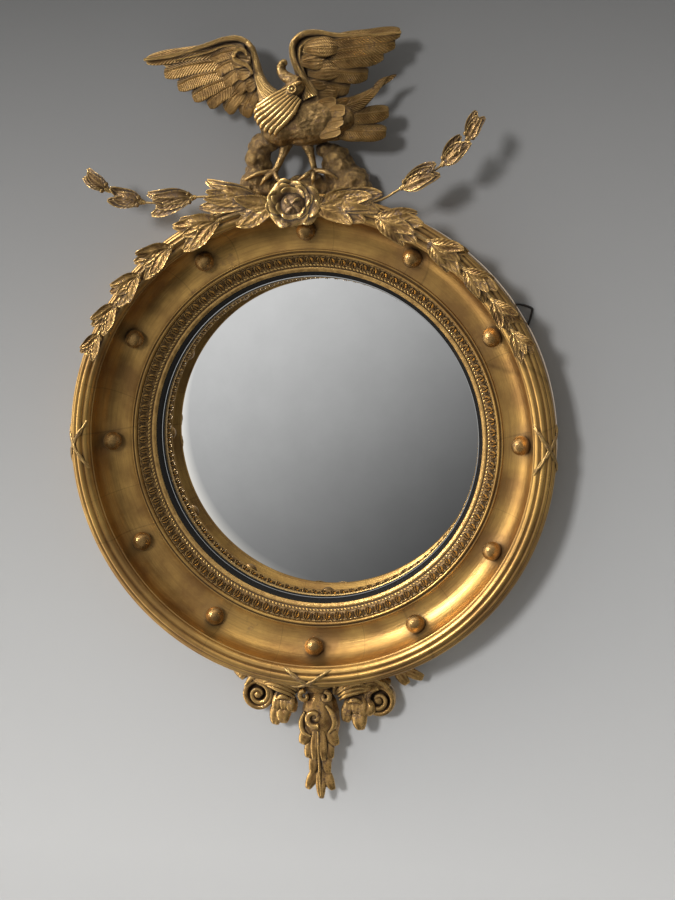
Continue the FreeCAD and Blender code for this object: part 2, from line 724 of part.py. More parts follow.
def cluster(start, ahead, height, length, width, splays=(-24, 24), lift=4.0):
    """A spray of leaves round the wire: two splayed leaves, one leaf over them and a calyx."""
    origin = at(start[0], start[1], height + size("wire_thickness") / 2)
    along = Vector(ahead[0] - start[0], 0, ahead[1] - start[1])
    along.normalize()
    across = along.cross(UP)
    bud = tube([origin - along * 1.5, origin + along * 5, origin + along * 11], [(4.0, 3.4), (6.0, 5.0), (3.6, 3.2)],
               4)
    parts = [bud]
    for splay in splays:
        turn = math.radians(splay)
        way = along * math.cos(turn) + across * math.sin(turn)
        root = origin + along * 3 + UP * 0.8
        parts.append(leaf(root, root + way * length + UP * lift, UP, width, LAUREL_RISE, arch=3.0))
    root = origin + along * 2 + UP * 3
    parts.append(leaf(root, root + along * (length * 0.86) + UP * (lift + 3), UP, width * 0.8, LAUREL_RISE, 3.0))
    return joined(parts)


CROWN = size("crown_height")
GARLAND_RADIUS = 314.5
GARLAND_STARTS = (4.5, 19.0, 32.5, 43.0, 52.5, 61.0)     # angle of each cluster from the top of the ring
GARLAND_END = 68.0
SMALLEST_CLUSTER = 200.0     # less than this is a splinter, in cubic millimetres
GARLAND_LENGTHS = (64, 62, 54, 48, 44, 38)
GARLAND_WIDTHS = (21, 20, 18, 16.5, 15, 13)


def on_ring(radius, from_top, side):
    """A point (x, z) on the ring, counted in degrees from its top: side is -1 left, 1 right."""
    turn = math.radians(from_top)
    return (side * radius * math.sin(turn), radius * math.cos(turn))


def garland(side):
    """The wire that lies on the first reed, and the leaf clusters threaded on it."""
    steps = [7.0 + 7.625 * i for i in range(9)]
    path = [(*on_ring(GARLAND_RADIUS, angle, side), CROWN) for angle in steps]
    strand = wire(path)
    clusters = []
    for i, start in enumerate(GARLAND_STARTS):
        here = on_ring(GARLAND_RADIUS, start, side)
        following = GARLAND_STARTS[i + 1] if i + 1 < len(GARLAND_STARTS) else GARLAND_END
        clusters.append(cluster(here, on_ring(GARLAND_RADIUS, following, side), CROWN, GARLAND_LENGTHS[i],
                                GARLAND_WIDTHS[i], splays=(side * 6, side * -18)))
    leaves = joined(clusters)
    flat = Part.makeBox(800, 30, 800, Vector(-400, -CROWN, -400))
    return strand, leaves.cut(flat).cut(strand).cut(rose)


for side, word in ((-1, "left"), (1, "right")):
    strand, leaves = garland(side)
    keep_shape(f"garland_wire_{word}", trimmed(strand, rose))
    keep_shape(f"garland_leaves_{word}",
               Part.makeCompound([solid for solid in leaves.Solids if solid.Volume > SMALLEST_CLUSTER]))

SPRAYS = {
    "left": [(-30, 316), (-47, 320), (-90, 326), (-136, 327), (-172, 322), (-205, 322), (-230, 328), (-251, 338),
             (-272, 354)],
    "right": [(30, 316), (47, 319), (76, 317), (104, 316), (136, 331), (164, 344), (188, 358), (219, 386),
              (232, 408)],
}
SPRAY_CLUSTERS = {
    "left": [1, 3, 5, 7],
    "right": [1, 4, 6, 7],
}
SPRAY_LENGTHS = {"left": (80, 62, 42, 38), "right": (60, 50, 42, 35)}
SPRAY_WIDTHS = (20, 18, 15, 13)
for word, route in SPRAYS.items():
    heights = [CROWN] * 3 + [CROWN + 1.5 * i for i in range(1, len(route) - 2)]
    strand = trimmed(wire([(x, z, height) for (x, z), height in zip(route, heights)]), rose,
                     nodes[f"garland_leaves_{word}"].Shape, nodes[f"garland_wire_{word}"].Shape)
    keep_shape(f"spray_wire_{word}", strand)
    filled = [rose, strand, nodes[f"garland_leaves_{word}"].Shape, nodes[f"garland_wire_{word}"].Shape]
    for order, index in enumerate(SPRAY_CLUSTERS[word]):
        sprig = trimmed(cluster(route[index], route[index + 1], heights[index], SPRAY_LENGTHS[word][order],
                                SPRAY_WIDTHS[order], splays=(-13, 13)), *filled)
        keep_shape(f"spray_{word}_cluster_{order + 1}", sprig)
        filled.append(sprig)


# ---------------------------------------------------------------- apron under the ring
APRON_LOW = 12.0            # back of the carved apron, on its batten
VOLUTE_CENTRE = (86.0, -359.0)
VOLUTE_RADIUS = 23.0
VOLUTE_EYE = 7.5
VOLUTE_TURNS = 1.5
VOLUTE_STEPS = 8            # per turn


def spiral(centre, outer, inner, turns, side, half_band, low, high, start=90.0):
    """A scrolled band standing on the apron, winding in from its outer end; side -1 winds the other way."""
    steps = round(turns * VOLUTE_STEPS)
    sections = []
    for i in range(steps + 1):
        share = i / steps
        turn = math.radians(start + side * 360 * turns * share)
        radius = outer + (inner - outer) * share ** 0.8
        way = (math.cos(turn), math.sin(turn))
        near, far = radius - half_band, radius + half_band
        rise = high - (high - low) * 0.25 * share
        sections.append([at(centre[0] + way[0] * r, centre[1] + way[1] * r, height)
                         for r, height in ((near, low), (far, low), (far, rise), (near, rise - 2))])
    return skin(sections)


def volute(side):
    """A dished disc with a scrolled band round it, an eye in its middle and the arm that carries it."""
    centre = (side * VOLUTE_CENTRE[0], VOLUTE_CENTRE[1])
    middle = at(*centre, APRON_LOW)
    disc = tube([middle, middle + UP * 16], [(VOLUTE_RADIUS - 3, VOLUTE_RADIUS - 3)] * 2, 9, Vector(0, 0, 1))
    eye_cone = tube([middle + UP * 8, middle + UP * 24, middle + UP * 29],
                    [(VOLUTE_EYE, VOLUTE_EYE), (VOLUTE_EYE - 1, VOLUTE_EYE - 1), (3, 3)], 8, Vector(0, 0, 1))
    band = spiral(centre, VOLUTE_RADIUS - 2.5, VOLUTE_EYE + 2, VOLUTE_TURNS, side, 2.7, APRON_LOW, 42.0)
    arm = tube([at(side * x, z, 28) for x, z in ((88, -340), (70, -334), (50, -334), (30, -338))],
               [(6, 14), (9, 15), (10, 15), (8, 14)], 6)
    arm_top = tube([at(side * 70, -338, 27), at(side * 60, -312, 27)], [(11, 14), (14, 14)], 6)
    return joined([disc, band, eye_cone, arm, arm_top])


def leaf_fan(root, tips, width, height, drop=6.0, arch=7.0):
    """A fan of carved leaves from one root to their tips."""
    return [leaf(at(*root, height), at(*tip, height - drop), UP, width, 5.0, arch=arch, blunt=0.5) for tip in tips]


PENDANT_HEIGHT = 28.0
# (z, half width, half depth) of the acanthus drop
PENDANT_PROFILE = [(-350, 12, 12), (-364, 17, 14), (-378, 24, 16), (-395, 27, 17), (-413, 25, 16),
                   (-431, 20, 14), (-449, 14, 11), (-466, 11, 9), (-480, 12, 9), (-492, 10, 7)]
PENDANT_LOBES = [((-7, -456), (-20, -499)), ((7, -456), (20, -498)), ((0, -462), (1, -510))]
PENDANT_LEAVES = [((-4, -446), (-25, -392)), ((4, -446), (25, -392)), ((-3, -478), (-17, -424)),
                  ((3, -478), (17, -424))]


def pendant():
    """The acanthus drop: a bulb that draws in to a waist and opens in three lobes, with leaves up its front."""
    body = skin([oval(at(0, z, PENDANT_HEIGHT), Vector(1, 0, 0), UP, across, deep, 10)
                 for z, across, deep in PENDANT_PROFILE])
    lobes = [leaf(at(*root, 27), at(*tip, 30), UP, 17, 6.0, arch=4.0, blunt=0.6) for root, tip in PENDANT_LOBES]
    wraps = [leaf(at(*root, 36), at(*tip, 33), UP, 13, 4.0, arch=9.0, blunt=0.3) for root, tip in PENDANT_LEAVES]
    keel = leaf(at(0, -400, 44), at(0, -500, 36), UP, 8, 4.0, arch=-3.0)
    curl = spiral((-1.0, -392.0), 9.0, 4.0, 1.0, 1, 2.0, 34.0, 50.0)
    return joined([body, keel, curl] + lobes + wraps)


block_outline = [(-34, -318), (34, -318), (36, -338), (22, -352), (8, -358), (-8, -358), (-22, -352), (-36, -338)]
apron_block = joined([plate(block_outline, APRON_LOW, 30.0)]
                     + [spiral((x, -349.0), 8.5, 3.4, 1.0, side, 1.8, APRON_LOW + 8, 48.0)
                        for x, side in ((-14.0, 1), (11.0, -1))])
batten_shape = batten_boxes["apron_batten"].Shape
apron_block = trimmed(apron_block, ring_cylinder, batten_shape)
drop = trimmed(pendant(), apron_block, batten_shape)
keep_shape("apron_block", apron_block)
keep_shape("apron_pendant", drop)
TUFTS = {-1: ((-50, -340), [(-62, -407), (-48, -400), (-34, -386)]),
         1: ((56, -342), [(38, -398), (61, -405), (79, -386)])}
SIDE_LEAVES = {-1: ((-92, -314), [(-124, -338)]), 1: ((100, -310), [(127, -339), (150, -329)])}
for side, word in ((-1, "left"), (1, "right")):
    scroll = trimmed(volute(side), ring_cylinder, apron_block)
    keep_shape(f"apron_scroll_{word}", scroll)
    root, tips = TUFTS[side]
    tuft = trimmed(joined(leaf_fan(root, tips, 21, 40.0)), ring_cylinder, scroll, apron_block, drop)
    keep_shape(f"apron_leaf_{word}", tuft)
    root, tips = SIDE_LEAVES[side]
    keep_shape(f"apron_side_leaf_{word}",
               trimmed(joined(leaf_fan(root, tips, 17, 22.0, drop=2.0, arch=2.0)), ring_cylinder, scroll))

# ---------------------------------------------------------------- crossed ribbons over the reeds
# (radius, height) of the ribbon's inner face as it goes over the moulding, from the fillet to the side
RIBBON_ROUTE = [(304.0, 97.2), (311.5, 98.0), (317.6, 98.0), (325.0, 94.3), (329.6, 88.7), (330.8, 80.5),
                (330.8, 75.0)]
RIBBON_WIDTH = 6.5
RIBBON_THICKNESS = 1.8
RIBBON_REACH = 30.0


def ribbon_tie(angle):
    """Two strips that cross over the reeds, as if binding them, at an angle round the ring."""
    turn = math.radians(angle)
    outward, round_ring = Vector(math.cos(turn), 0, math.sin(turn)), Vector(-math.sin(turn), 0, math.cos(turn))
    strips = []
    last = len(RIBBON_ROUTE) - 1
    for sign in (-1, 1):
        sections = []
        for i, (radius, height) in enumerate(RIBBON_ROUTE):
            shift = sign * RIBBON_REACH * (1 - 2 * i / last)
            sag = radius - math.sqrt(radius ** 2 - shift ** 2)
            ahead, behind = RIBBON_ROUTE[min(i + 1, last)], RIBBON_ROUTE[max(i - 1, 0)]
            slope = Vector(ahead[0] - behind[0], ahead[1] - behind[1], 0)
            slope.normalize()
            inner_face = outward * (radius - sag) + round_ring * shift + UP * height
            outer = inner_face + (outward * -slope.y + UP * slope.x) * RIBBON_THICKNESS
            half = round_ring * (RIBBON_WIDTH / 2)
            sections.append([inner_face - half, inner_face + half, outer + half, outer - half])
        strips.append(skin(sections))
    return joined(strips)


for word, angle in (("left", 180.0), ("right", 0.0), ("bottom", 270.0)):
    keep_shape(f"ribbon_tie_{word}", ribbon_tie(angle))

# ---------------------------------------------------------------- what is let into the back
all_nails = board_nails + crest_nails + apron_nails
all_screws = []
beds = []
for side, word in ((-1, "left"), (1, "right")):
    bed, strap, loop, screws = hanger(side)
    beds.append(bed)
    all_screws += screws
    keep_shape(f"hanger_strap_{word}", strap)
    keep_shape(f"hanger_loop_{word}", loop)
keep_shape("hanger_screws", Part.makeCompound(all_screws))
keep_shape("backboard_nails", Part.makeCompound(board_nails))
keep_shape("crest_nails", Part.makeCompound(crest_nails))
keep_shape("apron_nails", Part.makeCompound(apron_nails))
keep_shape("backboard", board_disc.Shape.cut(Part.makeCompound(board_nails)))
for name, box in batten_boxes.items():
    keep_shape(name, box.Shape.cut(Part.makeCompound(crest_nails + apron_nails)))
for label in ("rockwork", "apron_block", "apron_pendant"):
    nodes[label].Shape = nodes[label].Shape.cut(Part.makeCompound(crest_nails + apron_nails))
frame_shape = frame_blank.cut(Part.makeCompound(beds)).cut(battens_shape)
keep_shape("frame_ring", trimmed(frame_shape.cut(Part.makeCompound(all_nails)), *all_screws))


def check_and_write():
    """Stops on a failed object or a broken shape, and otherwise writes every sub-part."""
    doc.recompute()
    for item in doc.Objects:
        if "Invalid" in item.State or "Error" in item.State:
            raise RuntimeError(f"{item.Name} failed: {item.State}")
    os.makedirs("parts", exist_ok=True)
    for label, feature in nodes.items():
        shape = feature.Shape
        if shape.isNull() or not shape.isValid() or not shape.Solids:
            raise RuntimeError(f"{label} has no valid solid")
        shape.exportStep(os.path.join("parts", label + ".step"))
        print(f"{label}: {len(shape.Solids)} solid(s), {shape.Volume:.0f} mm3")


check_and_write()
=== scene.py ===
"""Regency convex mirror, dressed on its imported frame.

A round gilt frame with balls in its cove, an eagle on rockwork above, laurel on wire over the rim and a
carved acanthus drop below. Points are written as (x, z) millimetres on the front view with a height from
the wall; the front of the mirror faces -Y and the back lies on the plane Y = 0.
"""

from __future__ import annotations

import logging
import math
import random
from dataclasses import dataclass
from enum import Enum
from typing import Callable, Sequence

import bpy
from mathutils import Matrix, Vector

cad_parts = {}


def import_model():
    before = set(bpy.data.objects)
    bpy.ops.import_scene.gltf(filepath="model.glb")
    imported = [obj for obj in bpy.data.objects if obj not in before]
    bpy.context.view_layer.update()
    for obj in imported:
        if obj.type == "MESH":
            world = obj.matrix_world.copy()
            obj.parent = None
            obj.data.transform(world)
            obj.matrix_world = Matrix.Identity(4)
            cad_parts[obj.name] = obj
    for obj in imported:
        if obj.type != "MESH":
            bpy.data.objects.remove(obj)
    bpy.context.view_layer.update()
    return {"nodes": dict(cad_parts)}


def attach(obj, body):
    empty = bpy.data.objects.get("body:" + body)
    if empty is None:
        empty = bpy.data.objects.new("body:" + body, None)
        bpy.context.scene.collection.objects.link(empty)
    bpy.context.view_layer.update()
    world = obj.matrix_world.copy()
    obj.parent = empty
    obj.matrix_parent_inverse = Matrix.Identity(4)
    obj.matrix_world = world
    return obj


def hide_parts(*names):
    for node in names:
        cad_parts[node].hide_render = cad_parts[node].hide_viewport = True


log = logging.getLogger("convex_mirror")

MM = 0.001  # one millimetre in metres
WELD = 1e-6  # vertices nearer than this are one, in metres
SLACK = 0.01  # how near a vertex of a blank lies to its row or column
NARROWEST = 0.02  # least width of a blank's row, as a share
CROWN = 98.0  # height of the reeds' crown from the wall, in millimetres
HANGER_PIN = (275.0, 155.0)  # the right hanger's pin on the front view; the left one mirrors it
HANGER_LEAN = 73.5  # lean of the hanger straps off the level, in degrees
PIN_HEIGHT = 2.5  # height of the hangers' pins from the wall, in millimetres
FRAME = "frame"
OUT = Vector((0.0, -1.0, 0.0))
Pair = tuple[float, float]
Triple = tuple[float, float, float]
Colour = tuple[float, float, float]


def at(x: float, z: float, height: float) -> Vector:
    """Returns a point in metres from millimetres on the front view and a height from the wall."""
    return Vector((x * MM, -height * MM, z * MM))


def ring_at(radius: float, from_top: float, height: float) -> Vector:
    """Returns a point on the ring: radius and height in millimetres, degrees clockwise from the top."""
    turn = math.radians(from_top)
    return at(radius * math.sin(turn), radius * math.cos(turn), height)


# ------------------------------------------------------------------------------------------ bench tools
def clear_hands() -> None:
    """Leaves edit mode and drops every selection."""
    if bpy.context.object is not None and bpy.context.object.mode != "OBJECT":
        bpy.ops.object.mode_set(mode="OBJECT")
    bpy.ops.object.select_all(action="DESELECT")


def take(piece: bpy.types.Object) -> None:
    """Makes one piece the only selected and the active one.

    Args:
        piece: the piece.
    """
    clear_hands()
    piece.select_set(True)
    bpy.context.view_layer.objects.active = piece


def named(name: str) -> bpy.types.Object:
    """Names the piece just added, and its mesh.

    Args:
        name: the piece's name.

    Returns:
        The active object.
    """
    piece = bpy.context.object
    piece.name = name
    piece.data.name = name
    return piece


def pick(piece: bpy.types.Object, test: Callable[[Vector], bool]) -> None:
    """Enters edit mode with the vertices selected whose place passes the test.

    Args:
        piece: the mesh to work on.
        test: takes a vertex's place in the piece's own space.
    """
    take(piece)
    bpy.ops.object.mode_set(mode="EDIT")
    bpy.ops.mesh.select_mode(type="VERT")
    bpy.ops.mesh.select_all(action="DESELECT")
    bpy.ops.object.mode_set(mode="OBJECT")
    for vertex in piece.data.vertices:
        vertex.select = test(vertex.co)
    bpy.ops.object.mode_set(mode="EDIT")


def finish_with(piece: bpy.types.Object, kind: str, **settings: object) -> None:
    """Adds a modifier, sets it and applies it.

    Args:
        piece: the mesh it works on.
        kind: the modifier's type.
        **settings: its properties.
    """
    take(piece)
    modifier = piece.modifiers.new(kind.lower(), kind)
    for key, value in settings.items():
        setattr(modifier, key, value)
    bpy.ops.object.modifier_apply(modifier=modifier.name)


def close_up(piece: bpy.types.Object, distance: float = WELD) -> None:
    """Merges doubled vertices and points every face outwards.

    Args:
        piece: the mesh.
        distance: how near two vertices lie to be made one, in metres.
    """
    take(piece)
    bpy.ops.object.mode_set(mode="EDIT")
    bpy.ops.mesh.select_all(action="SELECT")
    bpy.ops.mesh.remove_doubles(threshold=distance)
    bpy.ops.mesh.normals_make_consistent(inside=False)
    bpy.ops.object.mode_set(mode="OBJECT")


def joined(pieces: Sequence[bpy.types.Object], name: str) -> bpy.types.Object:
    """Joins meshes into one piece under a new name.

    Args:
        pieces: the meshes, at least one.
        name: the name of the whole.

    Returns:
        The joined piece.
    """
    clear_hands()
    for piece in pieces:
        piece.select_set(True)
    bpy.context.view_layer.objects.active = pieces[0]
    if len(pieces) > 1:
        bpy.ops.object.join()
    return named(name)


def rest_at_origin(piece: bpy.types.Object) -> None:
    """Puts the piece's place, turn and size into its mesh."""
    take(piece)
    bpy.ops.object.transform_apply(location=True, rotation=True, scale=True)


def smooth(piece: bpy.types.Object, angle: float = 40.0) -> None:
    """Shades smooth, with edges sharper than the angle in degrees kept crisp."""
    take(piece)
    bpy.ops.object.shade_smooth_by_angle(angle=math.radians(angle))


def mount(piece: bpy.types.Object, finish: bpy.types.Material, slot: str, *nodes: str, body: str = FRAME,
          mirrored: bool = True) -> None:
    """Dresses a finished piece and sets it on the frame in place of CAD nodes.

    Args:
        piece: the finished mesh.
        finish: its material.
        slot: the record's slot that it stands for; not used.
        *nodes: the CAD nodes it replaces.
        body: the body it rides on.
        mirrored: False for crest pieces that the photograph's glass doesn't show.
    """
    piece.visible_glossy = mirrored
    piece.data.materials.clear()
    piece.data.materials.append(finish)
    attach(piece, body)
    if nodes:
        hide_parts(*nodes)
    log.info("%s: %d faces", piece.name, len(piece.data.polygons))


def assembled(parts: Sequence[bpy.types.Object], name: str, angle: float, finish: bpy.types.Material,
              slot: str, *nodes: str, mirrored: bool = True) -> None:
    """Joins the worked forms, shades them smooth and mounts the whole.

    Args:
        parts: the forms.
        name: the name of the whole.
        angle: edges sharper than this stay crisp, in degrees.
        finish: its material.
        slot: the record's slot that it stands for.
        *nodes: the CAD nodes it replaces.
        mirrored: False if the glass doesn't show it.
    """
    whole = joined(parts, name)
    smooth(whole, angle)
    mount(whole, finish, slot, *nodes, mirrored=mirrored)


def copy_of(piece: bpy.types.Object) -> bpy.types.Object:
    """Copies a piece into the scene, with a mesh of its own.

    Args:
        piece: the pattern.

    Returns:
        The copy.
    """
    copy = piece.copy()
    copy.data = piece.data.copy()
    bpy.context.scene.collection.objects.link(copy)
    return copy


def turn_round(piece: bpy.types.Object, angle: float) -> bpy.types.Object:
    """Turns a piece about the mirror's axis and keeps it there.

    Args:
        piece: the piece.
        angle: how far, in radians, clockwise as seen from the front.

    Returns:
        The piece.
    """
    piece.rotation_euler = (0, angle, 0)
    rest_at_origin(piece)
    return piece


def edge_through(name: str, corners: Sequence[Vector]) -> bpy.types.Object:
    """Draws a chain of edges through points, and stays in edit mode with all of it selected.

    Args:
        name: the piece's name.
        corners: the points, in metres.

    Returns:
        The piece.
    """
    clear_hands()
    bpy.ops.mesh.primitive_plane_add(size=MM, location=corners[0])
    piece = named(name)
    bpy.ops.object.mode_set(mode="EDIT")
    bpy.ops.mesh.select_all(action="SELECT")
    bpy.ops.mesh.merge(type="CENTER")
    for here, there in zip(corners, corners[1:]):
        bpy.ops.mesh.extrude_region_move(TRANSFORM_OT_translate={"value": there - here})
    bpy.ops.mesh.select_all(action="SELECT")
    return piece


def turned(name: str, outline: Sequence[Pair], steps: int, ring: bool = True) -> bpy.types.Object:
    """Turns an outline about the mirror's axis.

    Args:
        name: the piece's name.
        outline: (radius, height) pairs in millimetres, in order round the section.
        steps: how many gores the turn has.
        ring: True to close the section back to its start.

    Returns:
        The turned piece.
    """
    corners = [at(radius, 0, height) for radius, height in outline]
    if ring:
        corners.append(corners[0])
    piece = edge_through(name, corners)
    bpy.ops.mesh.remove_doubles(threshold=WELD)
    bpy.ops.mesh.select_all(action="SELECT")
    bpy.ops.mesh.spin(steps=steps, angle=2 * math.pi, center=(0, 0, 0), axis=(0, 1, 0))
    bpy.ops.object.mode_set(mode="OBJECT")
    rest_at_origin(piece)
    close_up(piece, 2 * WELD)
    return piece


def bulge(start: Pair, end: Pair, rise: float, steps: int) -> list[Pair]:
    """Lays points along an arc between two points of an outline, without the last.

    Args:
        start: (radius, height) where the arc starts.
        end: where it ends.
        rise: how far its middle stands to the left of the way from start to end.
        steps: how many points to lay.

    Returns:
        The points.
    """
    run = (end[0] - start[0], end[1] - start[1])
    chord = math.hypot(*run)
    side = (-run[1] / chord, run[0] / chord)
    radius = (chord * chord / 4 + rise * rise) / (2 * rise)
    points = []
    for i in range(steps):
        share = i / steps - 0.5
        out = math.copysign(math.sqrt(radius * radius - (share * chord) ** 2), radius) - (radius - rise)
        points.append((start[0] + run[0] * (share + 0.5) + side[0] * out,
                       start[1] + run[1] * (share + 0.5) + side[1] * out))
    return points


def limb(name: str, path: Sequence[Vector], radii: Sequence[float], flat: float = 1.0,
         steps: int = 5, sides: int = 3, loop: bool = False) -> bpy.types.Object:
    """Draws a rounded limb of changing thickness along a smooth path.

    Args:
        name: the piece's name.
        path: points the limb passes through, in metres.
        radii: its radius at each point, in millimetres.
        flat: how deep it is off the wall for its width.
        steps: divisions between two points.
        sides: roundness, as the curve's bevel resolution.
        loop: True for a path that closes on itself.

    Returns:
        The limb as a mesh.
    """
    clear_hands()
    bpy.ops.curve.primitive_bezier_curve_add()
    piece = named(name)
    line = piece.data.splines[0]
    line.bezier_points.add(len(path) - len(line.bezier_points))
    for point, place, radius in zip(line.bezier_points, path, radii):
        point.co = place
        point.radius = radius
        point.handle_left_type = point.handle_right_type = "AUTO"
    line.use_cyclic_u = loop
    piece.data.resolution_u = steps
    piece.data.bevel_depth = MM
    piece.data.bevel_resolution = sides
    piece.data.use_fill_caps = True
    bpy.ops.object.convert(target="MESH")
    piece = named(name)
    if flat != 1.0:
        middle = sum((place.y for place in path)) / len(path)
        take(piece)
        bpy.ops.object.mode_set(mode="EDIT")
        bpy.ops.mesh.select_all(action="SELECT")
        bpy.ops.transform.resize(value=(1, flat, 1), center_override=(0, middle, 0))
        bpy.ops.object.mode_set(mode="OBJECT")
    close_up(piece)
    return piece


def lump(name: str, centre: Vector, size: Triple, turn: float = 0.0) -> bpy.types.Object:
    """Adds a rounded lump of carving, to be worked into a larger form.

    Args:
        name: the piece's name.
        centre: its middle, in metres.
        size: its half sizes along X, Y and Z, in millimetres.
        turn: its turn on the front view, in degrees.

    Returns:
        The lump.
    """
    clear_hands()
    bpy.ops.mesh.primitive_uv_sphere_add(segments=24, ring_count=14, radius=1.0, location=centre,
                                         rotation=(0, math.radians(turn), 0),
                                         scale=(size[0] * MM, size[1] * MM, size[2] * MM))
    piece = named(name)
    rest_at_origin(piece)
    return piece


def carved_from(pieces: Sequence[bpy.types.Object], name: str, grain: float,
                soften: int = 4) -> bpy.types.Object:
    """Works overlapping forms into one continuous carved surface.

    Args:
        pieces: the overlapping forms.
        name: the name of the whole.
        grain: size of the surface's cells, in millimetres.
        soften: how many times the surface is smoothed.

    Returns:
        The carved piece.
    """
    piece = joined(pieces, name)
    finish_with(piece, "REMESH", mode="VOXEL", voxel_size=grain * MM, use_smooth_shade=True)
    if soften:
        finish_with(piece, "SMOOTH", factor=0.5, iterations=soften)
    return piece


def roughen(piece: bpy.types.Object, name: str, scale: float, depth: float) -> None:
    """Gives a carved surface its uneven tool marks.

    Args:
        piece: the carved mesh.
        name: the name of the cloud pattern.
        scale: size of the marks, in millimetres.
        depth: how deep they go, in millimetres.
    """
    marks = bpy.data.textures.new(name, "CLOUDS")
    marks.noise_scale = scale * MM
    marks.noise_depth = 2
    finish_with(piece, "DISPLACE", texture=marks, texture_coords="LOCAL", strength=depth * MM, mid_level=0.5)


# ------------------------------------------------------------------------------------------ leaf blanks
@dataclass
class Blank:
    """A leaf, petal or feather worked once from a flat sheet and copied wherever it is needed.

    Sizes are shares: x is a share of the width, y of the length, and heights are shares of the width.

    Attributes:
        name: the blank's name.
        breadth: width at even steps from root to tip.
        crown: height at even steps across, from one edge to the other.
        arch: height at even steps from root to tip.
        sway: sideways shift at even steps from root to tip.
        thickness: how thick the sheet is.
        rounding: levels of subdivision.
    """

    name: str
    breadth: Sequence[float]
    crown: Sequence[float]
    arch: Sequence[float]
    sway: Sequence[float] = ()
    thickness: float = 0.12
    rounding: int = 1
    piece: bpy.types.Object | None = None

    def work(self) -> Blank:
        """Shapes the sheet row by row and column by column, thickens it and rounds it.

        Returns:
            The blank itself, ready to be copied.
        """
        rows, columns = len(self.breadth), len(self.crown)
        clear_hands()
        bpy.ops.mesh.primitive_grid_add(x_subdivisions=columns - 1, y_subdivisions=rows - 1, size=1.0)
        sheet = named(self.name)
        for column, height in enumerate(self.crown):
            place = column / (columns - 1) - 0.5
            pick(sheet, lambda co, place=place: abs(co.x - place) < SLACK)
            bpy.ops.transform.translate(value=(0, 0, height))
            bpy.ops.object.mode_set(mode="OBJECT")
        for row in range(rows):
            place = row / (rows - 1) - 0.5
            pick(sheet, lambda co, place=place: abs(co.y - place) < SLACK)
            share = max(self.breadth[row], NARROWEST)
            bpy.ops.transform.resize(value=(share, 1, share ** 0.5), center_override=(0, place, 0))
            sway = self.sway[row] if self.sway else 0.0
            bpy.ops.transform.translate(value=(sway, 0, self.arch[row]))
            bpy.ops.object.mode_set(mode="OBJECT")
        pick(sheet, lambda co: True)
        bpy.ops.transform.translate(value=(0, 0.5, 0))
        bpy.ops.object.mode_set(mode="OBJECT")
        finish_with(sheet, "SOLIDIFY", thickness=self.thickness, offset=-1.0, use_rim=True)
        if self.rounding:
            finish_with(sheet, "SUBSURF", levels=self.rounding, render_levels=self.rounding)
        sheet.hide_render = True
        self.piece = sheet
        return self

    def lay(self, root: Vector, tip: Vector, face: Vector, width: float,
            lift: float = 1.0) -> bpy.types.Object:
        """Copies the blank onto the carving.

        Args:
            root: where its root lies, in metres.
            tip: where its tip reaches.
            face: the way its ridge faces.
            width: its greatest width, in millimetres.
            lift: how strongly its heights show.

        Returns:
            The copy, with its own mesh.
        """
        along = tip - root
        length = along.length
        along.normalize()
        across = along.cross(face).normalized()
        up = across.cross(along).normalized()
        copy = copy_of(self.piece)
        copy.hide_render = False
        wide = width * MM
        turn = Matrix((across * wide, along * length, up * (wide * lift))).transposed().to_4x4()
        copy.matrix_world = Matrix.Translation(root) @ turn
        rest_at_origin(copy)
        return copy

    def put_away(self) -> None:
        """Removes the blank once all its copies are laid."""
        bpy.data.objects.remove(self.piece)


def lance_blank(name: str = "laurel_blank", curl: float = 0.0) -> Blank:
    """A laurel leaf, full and worn, with a low midrib and edges that turn up; curl lifts or drops its tip."""
    return Blank(name, (0.26, 0.62, 0.90, 1.0, 0.98, 0.88, 0.72, 0.48, 0.05),
                 (0.16, 0.0, 0.03, 0.12, 0.03, 0.0, 0.16),
                 (0.0, 0.10, 0.17, 0.20, 0.19, 0.15, 0.08 + curl * 0.3, curl * 0.6, curl),
                 (0, 0.03, 0.05, 0.03, -0.01, -0.05, -0.06, -0.03, 0.02), thickness=0.10).work()


def feather_blank(name: str, blunt: float) -> Blank:
    """A carved wing feather with a quill down its middle; blunt keeps its tip wide."""
    tip = (0.80 + 0.18 * blunt, 0.62 + 0.30 * blunt, 0.36 + 0.42 * blunt, 0.05 + 0.30 * blunt)
    return Blank(name, (0.55, 0.80, 0.94, 1.0, 1.0, 0.98, 0.94, 0.88 + 0.1 * blunt, *tip),
                 (-0.10, 0.03, 0.08, 0.10, 0.20, 0.10, 0.08, 0.03, -0.10),
                 (0.0, 0.06, 0.11, 0.15, 0.18, 0.19, 0.18, 0.15, 0.11, 0.06, 0.0, -0.08),
                 (0, 0, 0, 0, 0, 0, 0, -0.01, -0.03, -0.06, -0.09, -0.12), thickness=0.22).work()


def shell_blank(name: str = "shell_blank") -> Blank:
    """A fan of flutes that spreads from a narrow root, as on the coverts by the shoulder."""
    return Blank(name, (0.34, 0.54, 0.74, 0.92, 1.0, 0.98, 0.80, 0.50),
                 (-0.10, 0.06, 0.0, 0.10, 0.02, 0.13, 0.04, 0.13, 0.02, 0.10, 0.0, 0.06, -0.10),
                 (0.0, 0.12, 0.22, 0.28, 0.30, 0.27, 0.18, 0.04), thickness=0.20).work()


def petal_blank(name: str = "petal_blank") -> Blank:
    """A cupped petal whose rim rolls over in a thick edge."""
    return Blank(name, (0.45, 0.72, 0.92, 1.04, 1.06, 0.96, 0.74),
                 (0.34, 0.12, 0.0, 0.07, 0.0, 0.12, 0.34),
                 (0.0, 0.10, 0.34, 0.64, 0.86, 0.90, 0.66), thickness=0.13).work()


